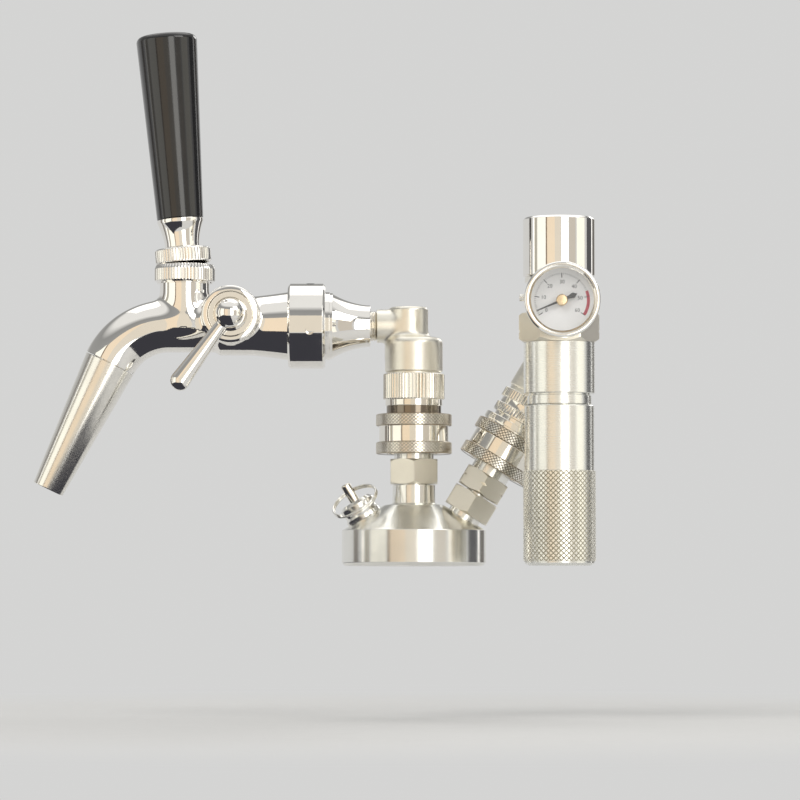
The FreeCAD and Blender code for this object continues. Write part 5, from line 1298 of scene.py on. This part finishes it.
@dataclass
class TapCasting:
    """The polished tap: barrel, bend, bonnet neck and the boss of the flow control."""

    collar: float = 14.0
    waist: float = 12.1
    tube: float = 10.85
    start: float = 51.5
    waist_end: float = 67.0
    shoulder: float = 79.0
    bend_start: float = 100.3
    bend_radius: float = 26.9
    bend_turn: float = 64.0
    bonnet: float = 94.0
    neck: float = 10.25
    flow: tuple[float, float] = (74.6, 3.9)
    boss: float = 11.2
    boss_root: float = 9.4
    boss_full: float = 9.5
    boss_reach: float = 13.0
    nowhere: float = 50.0

    def build(self) -> None:
        """Casts the tap and adds the rim where the nozzle screws in."""
        space = Axis(TAP.origin, (0.0, 0.0, 1.0), (-1.0, 0.0, 0.0))
        casting = Shell("tap_casting")
        casting.cast(space, self._form, (48.0, -17.0, -24.0), (137.0, 17.0, 20.5), 0.55)
        casting.make("tap", "chrome", [CHROME], "tap_body")
        turns = np.radians(np.linspace(self.bend_turn - 9.0, self.bend_turn, 12))
        path = np.stack([
            -(self.bend_start + self.bend_radius * np.sin(turns)), np.zeros(12),
            TAP.origin[2] - self.bend_radius + self.bend_radius * np.cos(turns),
        ], axis=1)
        radii = [self.tube + 0.01] * 11 + [self.tube - 0.25]
        path[10] = path[11] * 0.85 + path[10] * 0.15
        Shell("tap_bend_rim").wire(path, radii, 96).make("tap", "chrome", [CHROME])

    def _form(self, points: np.ndarray) -> np.ndarray:
        """Gives the tap's form.

        Args:
            points: Places along the tube, to the far side and up, one row each.

        Returns:
            Their distances to the tap, negative inside.
        """
        s, y, z = points.T
        share = np.clip((self.waist_end - s) / (self.waist_end - self.start), 0.0, 1.0)
        step = np.clip((s - self.shoulder) / 3.0, 0.0, 1.0)
        radius = self.waist + (self.collar - self.waist) * share**1.25
        radius = radius - (self.waist - self.tube) * step * step * (3.0 - 2.0 * step)
        straight = np.hypot(y, z) - radius
        centre = z + self.bend_radius
        ring = np.hypot(np.hypot(s - self.bend_start, centre) - self.bend_radius, y) - self.tube
        turn = np.degrees(np.arctan2(s - self.bend_start, centre))
        inside = (s > self.bend_start) & (centre > -5.0)
        past_end = (turn - self.bend_turn + 2.0) * 0.45
        bent = np.where(inside, np.maximum(ring, past_end), self.nowhere)
        tube = np.where(s > self.bend_start, bent, straight)
        neck = np.maximum(np.hypot(s - self.bonnet, y) - self.neck, -z)
        widening = np.clip(y / self.boss_full, 0.0, 1.0)
        boss_radius = self.boss_root + (self.boss - self.boss_root) * widening
        across = np.hypot(s - self.flow[0], z - self.flow[1]) - boss_radius
        boss = np.maximum(across, np.maximum(y - self.boss_reach, -y))
        return blend(blend(tube, neck, 5.0), boss, 4.0)


@dataclass
class Nozzle:
    """The long tapered nozzle."""

    root: float = 10.7
    tip: float = 6.55
    bore: float = 5.2
    length: float = 57.5
    shank: float = 7.5

    def build(self) -> None:
        """Turns the nozzle."""
        Shell("spout_nozzle").turned(NOZZLE, [
            (self.bore, -6.0), (self.shank, -6.0), (self.shank, 0.3), (self.root, 0.3, 0.25),
            (self.tip, self.length, 0.45), (self.bore, self.length, 0.25),
        ], 160).make("tap", "turned_steel", [SPOUT_STEEL], "nozzle")


@dataclass
class BonnetAndLever:
    """The bonnet nut, and the lever with its collar, ferrule and handle."""

    bonnet: float = 12.4
    neck: float = 9.95
    neck_top: float = 17.2
    flutes: int = 58
    collar: float = 11.4
    hollow: float = 13.15
    hollow_top: float = 11.3
    collar_foot: float = 7.0
    ball: float = 8.2
    stem: float = 3.2
    bore: float = 3.25
    ferrule_foot: float = 7.15
    ferrule_head: float = 9.5
    handle_top: float = 12.5
    handle_round: float = 2.5
    length: float = 101.0

    def build(self) -> None:
        """Builds the nut and the lever's pieces."""
        foot, top = self.neck_top + 0.05, self.neck_top + 8.0
        rim = self.bonnet
        Shell("bonnet_nut_body", 32.0).fluted(BONNET, [
            (self.neck, foot), (11.4, foot, 0.2), (11.4, foot + 0.5, 0.1), (rim - 0.3, foot + 1.0, 0.2),
            (rim, foot + 1.4, 0.2), *arc((rim, top - 1.95), (11.55, top - 0.05), 13.05, 8),
            (7.3, top, 0.3), (7.3, top - 2.0), (self.neck, top - 2.0),
        ], self.flutes, 0.26, (foot + 1.4, top - 0.3), 11.5).make("tap", "chrome", [CHROME], "bonnet_nut")
        Shell("lever_ball_stem", 40.0).turned(LEVER, [
            *arc((0.0, -16.0), (1.5, -12.68), 2.0), *arc((1.5, -8.06), (self.stem, 7.55), self.ball, 40),
            (self.stem, 36.0), (0.0, 36.0),
        ], 96, 0, 0.0).make("lever", "turned_steel", [CHROME], "lever_stem")
        bore, low, high = self.bore, self.collar_foot, self.hollow_top
        ends = [(math.sqrt(self.hollow**2 - level**2), level) for level in (high, low)]
        Shell("lever_collar_body", 32.0).fluted(LEVER, [
            (bore, high), *arc(*ends, -self.hollow), (self.collar, low, 0.2), (self.collar, 12.3, 0.3),
            (self.collar - 0.5, 12.9, 0.3), (bore, 12.9),
        ], self.flutes, 0.24, (7.4, 12.2), 11.25).make("lever", "chrome", [CHROME], "lever_collar")
        foot, head, edge = self.ferrule_foot, self.ferrule_head, self.handle_round
        Shell("handle_ferrule").turned(LEVER, [
            (bore, 12.95), (6.15, 12.95), (6.15, 13.5), (foot, 13.5, 0.3), *arc((foot, 15.0), (head, 23.8), -30.0),
            (head, 25.0, 0.25), (bore, 25.0),
        ], 128).make("lever", "chrome", [CHROME], "ferrule")
        Shell("handle_grip", 35.0).turned(LEVER, [
            (bore, 25.05), (head, 25.05, 0.5),
            *arc((self.handle_top, self.length - edge), (self.handle_top - edge, self.length), edge),
            (0.0, self.length), (0.0, 36.05), (bore, 36.05),
        ], 160).make("lever", "handle_black", [HANDLE_BLACK], "tap_handle")


@dataclass
class FlowControl:
    """The flow control's ring and its lever."""

    ring: float = 11.75
    bore: float = 3.3
    reach: float = 12.2
    ball: float = 6.1
    back: float = 4.5
    length: float = 38.0
    root: float = 2.1
    tip: float = 4.1

    def build(self) -> None:
        """Turns the ring and forges the lever."""
        start = self.reach
        Shell("flow_control_ring").turned(FLOW, [
            (self.bore, start + 0.05), (11.2, start + 0.05, 0.2), (self.ring, start + 0.7, 0.3),
            *arc((self.ring, start + 3.3), (self.ring - 1.1, start + 4.5), 1.3),
            (9.4, start + 4.8, 0.25), (9.15, start + 4.3, 0.15), (8.9, start + 4.0, 0.2), (6.95, start + 3.9, 0.1),
            (6.8, start + 2.2), (5.2, start + 2.2), (5.2, start + 3.1), (self.bore, start + 3.1),
        ], 160).make("tap", "chrome", [CHROME], "flow_ring")

        def form(points: np.ndarray) -> np.ndarray:
            """Distance to the hub and the arm."""
            x, y, z = points.T
            end = self.length - self.tip
            share = np.clip(x / end, 0.0, 1.0)
            size = self.root + (self.tip - self.root) * share
            arm = np.sqrt((x - share * end) ** 2 + y**2 + (z * 1.28) ** 2) - size
            hub = np.maximum(np.linalg.norm(points, axis=1) - self.ball, -z - self.back)
            return blend(hub, arm, 1.0)

        lever = Shell("flow_control_lever")
        lever.cast(FLOW_ARM, form, (-7.0, -7.0, -6.0), (39.0, 7.0, 7.0), 0.4)
        lever.make("flow_lever", "chrome", [CHROME], "flow_lever")


@dataclass
class Regulator:
    """The regulator's barrel, hexagonal head, neck, vent screw and adjusting knob."""

    barrel: float = 14.25
    top: float = 6.2
    bottom: float = -14.3
    ring: float = 12.85
    flats: float = 28.0
    head_top: float = 18.0
    bore: float = 8.8
    neck: float = 12.5
    neck_top: float = 30.2
    collar: float = 13.8
    knob: float = 14.5
    knob_height: float = 23.7

    def build(self) -> None:
        """Turns and mills the regulator's pieces."""
        step, collar = self.bottom - 0.8, self.ring - 0.55
        Shell("regulator_barrel_body").turned(REGULATOR, [
            (6.0, self.top), (self.barrel, self.top, 0.3), (self.barrel, self.bottom, 0.35), (collar, self.bottom),
            (collar, step), (self.ring, step, 0.25), (self.ring, step - 3.6, 0.25), (11.75, step - 3.6),
            *thread(12.2, step - 10.9, step - 3.9, 1.0, 0.4, False), (11.0, step - 10.9), (11.0, -20.7),
            (4.6, -13.7), (4.6, -5.8), (1.55, -5.8), (1.55, -4.1), (6.0, -4.1),
        ], 160).make("regulator", "alloy", [ALLOY], "regulator_barrel")
        head = Shell("regulator_head_body")
        band = (self.top + 0.05, self.head_top)
        head.hexagonal(REGULATOR, self.flats, band, self.bore, (10.7, 0.5), foot=(2.0, 1.5), crown=(1.2, 0.8))
        low, top = self.head_top - 0.5, self.neck_top + 2.1
        head.turned(REGULATOR, [
            (self.bore, low), (self.neck, low), (self.neck, self.neck_top), (self.collar, self.neck_top, 0.25),
            (self.collar, top, 0.25), (3.6, top), (3.6, self.neck_top), (self.bore, self.neck_top - 1.5),
        ], 160)
        head.make("regulator", "nickel", [NICKEL, MILLED_NICKEL], "regulator_head")
        Shell("regulator_vent_screw").turned(VENT, [
            (0.0, 9.2), (1.4, 9.2), (1.4, 15.9, 0.3), (0.9, 15.9, 0.1), (0.9, 15.4), (0.0, 15.4),
        ], 48).make("regulator", "turned_steel", [TURNED_STEEL], "vent_screw")
        start, hollow = self.neck_top + 2.4, self.knob - 2.6
        end = start + self.knob_height
        Shell("regulator_knob").turned(REGULATOR, [
            (hollow, start), (self.knob - 0.4, start, 0.2), (self.knob, start + 0.4, 0.2),
            (self.knob, end - 0.8, 0.3), (self.knob - 0.8, end, 0.3), (0.0, end), (0.0, end - 2.55),
            (hollow, end - 2.55),
        ], 192).make("knob", "chrome", [CHROME], "adjusting_knob")


@dataclass
class CartridgeSleeve:
    """The screw-on sleeve of the gas cartridge, with its knurled grip."""

    radius: float = 13.95
    grip: float = 14.5
    top: float = -19.0
    bottom: float = -83.0
    grip_low: float = 1.9
    grip_high: float = 37.8
    bore: float = 11.3
    mouth: float = 12.5

    def build(self) -> None:
        """Turns the sleeve and rolls the knurl."""
        low, high = self.bottom + self.grip_low, self.bottom + self.grip_high
        shell = Shell("cartridge_sleeve_body", 24.0)
        foot, under, floor = self.grip - 0.5, self.grip - 0.6, self.bottom + 2.0
        shell.turned(REGULATOR, [
            (0.0, self.bottom), (self.grip - 2.2, self.bottom, 0.4), (foot, self.bottom + 0.9, 0.3),
            (foot, low - 0.2, 0.2), (under, low + 0.1), (under, high - 0.2), (self.radius, high + 0.1, 0.2),
            (self.radius, self.top - 0.4, 0.2), (self.radius - 0.4, self.top, 0.2), (self.mouth, self.top),
            (self.mouth, self.top - 7.9), (self.bore, self.top - 7.9), (self.bore, floor), (0.0, floor),
        ], 160)
        shell.knurled(REGULATOR, self.grip, 0.42, (low, high - 0.2), 44, 18, 0.70)
        # The third finish paints shade in the knurl's grooves.
        shell.make("cartridge_sleeve", "alloy", [ALLOY, KNURLED_ALLOY, ALLOY_GROOVE_SHADE], "cartridge_sleeve")


@dataclass
class Gauge:
    """The pressure gauge: case, bezel, lens, dial and needle."""

    back: float = 14.7
    front: float = 31.6
    radius: float = 14.0
    bezel: float = 15.0
    opening: float = 12.35
    face: float = 24.7
    dial: float = 12.95
    scale_radius: float = 10.9
    number_radius: float = 7.3
    zero: float = 213.0
    span: float = 246.0
    red: tuple[float, float] = (-33.0, 21.0)
    red_band: tuple[float, float] = (9.9, 11.1)
    marks: Sequence[tuple[str, float]] = (
        ("0", 213.0), ("10", 171.0), ("20", 130.0), ("30", 89.0), ("40", 48.0), ("50", 7.0), ("60", -33.0))

    def build(self) -> None:
        """Builds the gauge from the back to the front."""
        rim, back, wall = self.back + 15.5, self.back, self.radius - 1.0
        Shell("gauge_case_body").turned(GAUGE, [
            (0.0, back - 5.0), (4.4, back - 5.0), (4.4, back), (self.radius - 1.2, back, 0.5),
            (self.radius, back + 1.2, 0.5), (self.radius, rim), (wall, rim), (wall, back + 2.0), (0.8, back + 2.0),
            (0.8, self.face + 0.8), (0.0, self.face + 0.8),
        ], 160).make("regulator", "gauge_metal", [GAUGE_METAL], "gauge_case")
        front, inner = self.front, self.radius + 0.05
        Shell("gauge_bezel_ring", 35.0).turned(GAUGE, [
            (inner, front - 5.0), (self.bezel, front - 5.0, 0.25),
            *arc((self.bezel, front - 1.0), (self.bezel - 1.0, front), 1.0),
            (13.6, front, 0.1), (13.45, front - 0.35), (13.25, front - 0.35), (self.opening, front - 1.3, 0.1),
            (self.opening, front - 1.38), (inner, front - 1.38),
        ], 192).make("regulator", "gauge_metal", [GAUGE_METAL], "gauge_bezel")
        lens = Shell("gauge_lens_glass")
        lens.turned(GAUGE, [(0.0, 28.8), (self.dial, 28.8), (self.dial, 30.2), (0.0, 30.2)], 96)
        lens.make("regulator", "lens", [LENS], "gauge_lens")
        self._dial()
        self._needle()

    def _dial(self) -> None:
        """Turns the dial and prints its scale."""
        under = self.face - 0.6
        dial = Shell("gauge_dial_face").turned(GAUGE, [
            (0.9, under), (self.dial, under), (self.dial, self.face), (0.9, self.face),
        ], 96, 0, 0.0)
        top = GAUGE.along(self.face + 0.03)
        for step in range(61):
            angle = math.radians(self.zero - self.span * step / 60)
            major, middle = step % 10 == 0, step % 5 == 0
            length, half = (1.9, 0.16) if major else (0.9, 0.08) if middle else (0.75, 0.06)
            self._stroke(dial, top, angle, self.scale_radius - length, self.scale_radius, half)
        for name, place in self.marks:
            angle = math.radians(place)
            at = (self.number_radius * math.cos(angle), self.number_radius * math.sin(angle))
            dial.lettered(top, name, 2.1, at)
        turns = np.radians(np.linspace(*self.red, 28))
        band = np.array([(size * math.cos(a), size * math.sin(a), 0.0) for a in turns for size in self.red_band])
        faces = [[2 * i, 2 * i + 1, 2 * i + 3, 2 * i + 2] for i in range(27)]
        dial.add(GAUGE.along(self.face + 0.02).place(band), faces, 2)
        dial.make("regulator", "dial_white", [DIAL_WHITE, DIAL_GREY, DIAL_RED], "gauge_dial")

    @staticmethod
    def _stroke(shell: Shell, axis: Axis, angle: float, inner: float, outer: float, half: float) -> None:
        """Prints one short radial stroke.

        Args:
            shell: The dial.
            axis: The frame of its face.
            angle: Where the stroke is, in radians.
            inner: Radius that it starts at.
            outer: Radius that it ends at.
            half: Half its width.
        """
        along = np.array([math.cos(angle), math.sin(angle), 0.0])
        across = np.array([-math.sin(angle), math.cos(angle), 0.0]) * half
        near, far = along * inner, along * outer
        corners = np.array([near - across, far - across, far + across, near + across])
        shell.add(axis.place(corners), [[0, 1, 2, 3]], 1)

    def _needle(self) -> None:
        """Cuts the needle and turns its hub."""
        needle = Shell("gauge_needle_hand")
        edge = [(10.8, 0.18), (0.0, 0.55), (-2.8, 0.6), (-5.0, 1.1)]
        outline = [(10.8, -0.18), *edge, (-6.6, 0.0), *[(x, -y) for x, y in edge[:0:-1]]]
        count = len(outline)
        points = np.array([(x, y, z) for z in (0.0, 0.45) for x, y in outline])
        faces = [list(range(count))[::-1], list(range(count, 2 * count))]
        faces += [[i, (i + 1) % count, (i + 1) % count + count, i + count] for i in range(count)]
        needle.add(NEEDLE.place(points), faces, 0)
        needle.turned(NEEDLE, [(0.0, 0.0), (2.3, 0.0), (2.3, 1.3, 0.25), (1.9, 1.7, 0.25), (0.0, 1.7)], 64, 1)
        needle.make("needle", "needle_dark", [NEEDLE_DARK, BRASS], "gauge_needle")


@dataclass
class InnerPieces:
    """The pieces that keep the frame's own shape, and their finishes."""

    finishes: Sequence[Finish] = (
        TURNED_STEEL, NICKEL, CAST_NICKEL, CHROME, HANDLE_BLACK, ALLOY, GAUGE_METAL, RUBBER, SPRING_STEEL, BRASS,
        DIAL_WHITE, LENS, NEEDLE_DARK, CARTRIDGE_STEEL,
    )

    def dress(self, frame: dict) -> None:
        """Gives every node of the frame the finish that its slot names.
        """
        known = {finish.name: finish for finish in self.finishes}
        for name, node in frame["nodes"].items():
            if not node.data.materials:
                node.data.materials.append(None)
            for place in node.material_slots:
                slot = place.material.name.split(".")[0] if place.material else "turned_steel"
                finish = PLATED_BRASS if name == "relief_pin" else known.get(slot, TURNED_STEEL)
                place.material = finish.material()
            LOG.info("%s: %s", name, node.material_slots[0].material.name)


@dataclass(frozen=True)
class Panel:
    """A curved panel of the studio's wall, seen only as a reflection in the metal.

    Args:
        name: The panel's name.
        start: Where it starts, in degrees to the right of the camera.
        end: Where it ends.
        high: Its height in metres.
        colour: The light that it gives off.
        low: Height of its lower edge in metres.
        radius: How far it stands from the object, in metres.
    """

    name: str
    start: float
    end: float
    high: float
    colour: Triple
    low: float = -0.95
    radius: float = 2.4

    def build(self) -> None:
        """Hangs the panel, hidden from the camera, with its glow."""
        corners, faces = self._shape()
        mesh = bpy.data.meshes.new(self.name)
        mesh.from_pydata(corners, [], faces)
        material = bpy.data.materials.new(self.name)
        material.use_nodes = True
        tree = material.node_tree
        tree.nodes.clear()
        glow = add_node(tree, "ShaderNodeEmission", {"Color": (*self.colour, 1.0)})
        add_node(tree, "ShaderNodeOutputMaterial", {"Surface": glow.outputs["Emission"]})
        mesh.materials.append(material)
        panel = stand(self.name, mesh)
        panel.visible_camera = panel.visible_shadow = panel.visible_diffuse = False

    def _shape(self) -> tuple[list[Triple], list[tuple[int, ...]]]:
        """Bends the panel round the object.

        Returns:
            Its corners and its faces.
        """
        count = max(int((self.end - self.start) / 3.0), 2)
        turns = np.radians(np.linspace(self.start, self.end, count + 1))
        corners = [
            (self.radius * math.sin(turn), -self.radius * math.cos(turn), z)
            for turn in turns for z in (self.low, self.high)
        ]
        return corners, [(2 * i, 2 * i + 2, 2 * i + 3, 2 * i + 1) for i in range(count)]


@dataclass(frozen=True)
class Card(Panel):
    """A flat panel under the object: start and end are its left and right side, in metres.

    Args:
        near: Its side towards the camera, in metres.
        far: Its side away from the camera, in metres.
    """

    near: float = -0.26
    far: float = 0.03

    def _shape(self) -> tuple[list[Triple], list[tuple[int, ...]]]:
        """Returns the card's corners and its one face."""
        left, right, z = self.start, self.end, self.high
        return [(left, self.near, z), (right, self.near, z), (right, self.far, z), (left, self.far, z)], [(0, 1, 2, 3)]


@dataclass
class Studio:
    """The floor, the soft lamps, the wall panels and the camera."""

    floor_height: float = -62.0
    floor_radius: float = 0.44
    fade: tuple[float, float] = (0.45, 0.98)
    pale: float = 0.66
    ceiling: Triple = (0.84, 0.835, 0.82)
    ceiling_start: float = 0.76
    shades: Sequence[tuple[float, float]] = ((0.20, 0.66), (0.40, 0.34), (0.62, 0.30))
    lamp_colour: Triple = (1.0, 0.985, 0.96)
    target: Triple = (-0.03, 0.0, 0.09)
    distance: float = 1500.0
    side: float = -5.7
    height: float = -10.7
    pitch: float = 3.0
    lens: float = 165.0
    panels: Sequence[Panel] = (
        Panel("left_card", -112.0, -100.0, 1.1, (0.24, 0.22, 0.20)),
        Panel("left_strip", -92.0, -86.0, 1.2, (1.4, 1.37, 1.28)),
        Panel("left_shade", -86.0, -76.0, 1.2, (0.48, 0.45, 0.38)),
        Panel("left_box", -74.0, -44.0, 1.3, (1.18, 1.15, 1.03)),
        Panel("left_edge", -43.0, -39.0, 1.2, (0.28, 0.21, 0.15)),
        Panel("warm_card", -39.0, -14.0, 1.2, (0.95, 0.79, 0.60)),
        Panel("front_card", -14.0, 5.0, 1.2, (0.80, 0.73, 0.62)),
        Panel("window", 7.0, 28.0, 1.7, (2.8, 2.75, 2.6)),
        Panel("right_card", 31.0, 52.0, 1.2, (0.62, 0.57, 0.50)),
        Panel("right_box", 56.0, 86.0, 1.2, (1.15, 1.11, 0.98)),
        Panel("side_card", 96.0, 122.0, 1.2, (0.10, 0.10, 0.105)),
        Panel("rear_strip", 123.0, 128.0, 1.2, (1.4, 1.38, 1.35)),
        Panel("rear_card", 129.0, 150.0, 1.2, (0.16, 0.15, 0.14)),
        Card("dark_card", -0.36, -0.037, -0.006, (0.045, 0.045, 0.055)),
    )
    lamps: Sequence[tuple[str, Triple, float, float]] = (
        ("key_box", (-1.15, -1.25, 1.55), 1.6, 24.0), ("fill_box", (1.35, -1.1, 1.2), 1.2, 9.0),
        ("top_box", (0.0, 0.75, 2.0), 2.2, 8.0), ("rear_box", (0.9, 1.7, 0.9), 0.7, 3.0),
    )

    def build(self) -> None:
        """Sets up floor, light and camera."""
        self._floor()
        self._light()
        for panel in self.panels:
            panel.build()
        self._camera()

    def _grey(self, level: float) -> tuple[float, float, float, float]:
        """Returns the backdrop's slightly warm grey at a level."""
        return (level, level, level * 0.99, 1.0)

    def _floor(self) -> None:
        """Lays a plain pale floor that fades into the backdrop at its rim."""
        count, radius = 96, self.floor_radius
        turns = np.linspace(0.0, 2 * math.pi, count, endpoint=False)
        rim = [(radius * math.cos(turn), radius * math.sin(turn), self.floor_height * MM) for turn in turns]
        mesh = bpy.data.meshes.new("studio_floor")
        mesh.from_pydata(rim, [], [list(range(count))])
        paper = STUDIO_PAPER.material()
        tree = paper.node_tree
        where = add_node(tree, "ShaderNodeTexCoord", {})
        far = add_node(tree, "ShaderNodeVectorMath", {0: where.outputs["Object"]}, operation="LENGTH")
        fade = add_node(tree, "ShaderNodeMapRange", {
            "Value": far.outputs["Value"], "From Min": radius * self.fade[0], "From Max": radius * self.fade[1],
        }, interpolation_type="SMOOTHSTEP")
        backdrop = add_node(tree, "ShaderNodeEmission", {"Color": self._grey(self.pale)})
        join = add_node(tree, "ShaderNodeMixShader", {
            0: fade.outputs["Result"], 1: tree.nodes["Principled BSDF"].outputs["BSDF"],
            2: backdrop.outputs["Emission"],
        })
        tree.links.new(join.outputs["Shader"], tree.nodes["Material Output"].inputs["Surface"])
        mesh.materials.append(paper)
        stand("studio_floor", mesh)

    def _light(self) -> None:
        """Hangs the soft lamps and sets the room's own light."""
        world = bpy.data.worlds.new("studio_room")
        bpy.context.scene.world = world
        world.use_nodes = True
        tree = world.node_tree
        where = add_node(tree, "ShaderNodeTexCoord", {})
        parts = add_node(tree, "ShaderNodeSeparateXYZ", {"Vector": where.outputs["Generated"]})
        ramp = add_node(tree, "ShaderNodeValToRGB", {"Fac": parts.outputs["Z"]})
        foot, top = ramp.color_ramp.elements
        foot.position, foot.color = 0.0, self._grey(self.pale)
        top.position, top.color = self.ceiling_start, (*self.ceiling, 1.0)
        for position, level in self.shades:
            ramp.color_ramp.elements.new(position).color = self._grey(level)
        tree.links.new(ramp.outputs["Color"], tree.nodes["Background"].inputs["Color"])
        for name, place, size, power in self.lamps:
            lamp = bpy.data.lights.new(name, "AREA")
            lamp.shape, lamp.size, lamp.size_y = "RECTANGLE", size, size * 0.8
            lamp.energy, lamp.color = power, self.lamp_colour
            holder = stand(name, lamp)
            holder.location = place
            holder.visible_camera = False
            holder.visible_glossy = name != "key_box"
            holder.rotation_euler = (Vector(self.target) - Vector(place)).to_track_quat("-Z", "Y").to_euler()

    def _camera(self) -> None:
        """Sets the camera where the photograph was taken from."""
        camera = bpy.data.cameras.new("viewpoint")
        camera.lens, camera.sensor_width = self.lens, 36.0
        camera.clip_start, camera.clip_end = 0.01, 50.0
        holder = stand("viewpoint", camera)
        holder.location = (self.side * MM, -self.distance * MM, self.height * MM)
        holder.rotation_euler = (math.radians(90.0 + self.pitch), 0.0, 0.0)
        bpy.context.scene.camera = holder
        bpy.context.scene.view_settings.view_transform = "Standard"


def main() -> None:
    """Builds every sub-assembly in order."""
    logging.basicConfig(level=logging.INFO, format="%(message)s")
    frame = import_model()
    InnerPieces().dress(frame)
    assemblies = [
        Cap(),
        Post("liquid", LIQUID_POST, 19.2, 10.2, 2.2, 0.0, -9.2),
        PostAdapter(),
        Post("gas", GAS_POST, 18.5, 8.5, 3.45, 0.8, 0.2),
        ReliefValve(),
        Disconnect("liquid", LIQUID_MOUTH, "tap", (-1.0, 0.0), 52.4, 60.2, 31.7, (6.0, 22.8)),
        Disconnect("gas", GAS_MOUTH, "gas_disconnect", (0.0, -1.0), 50.2, 58.0, 31.85, (4.0, 24.75)),
        TapRear(), TapCasting(), Nozzle(), BonnetAndLever(), FlowControl(), Regulator(), CartridgeSleeve(), Gauge(),
        Studio(),
    ]
    for assembly in assemblies:
        LOG.info("building %s", type(assembly).__name__)
        assembly.build()


if __name__ == "__main__":
    main()
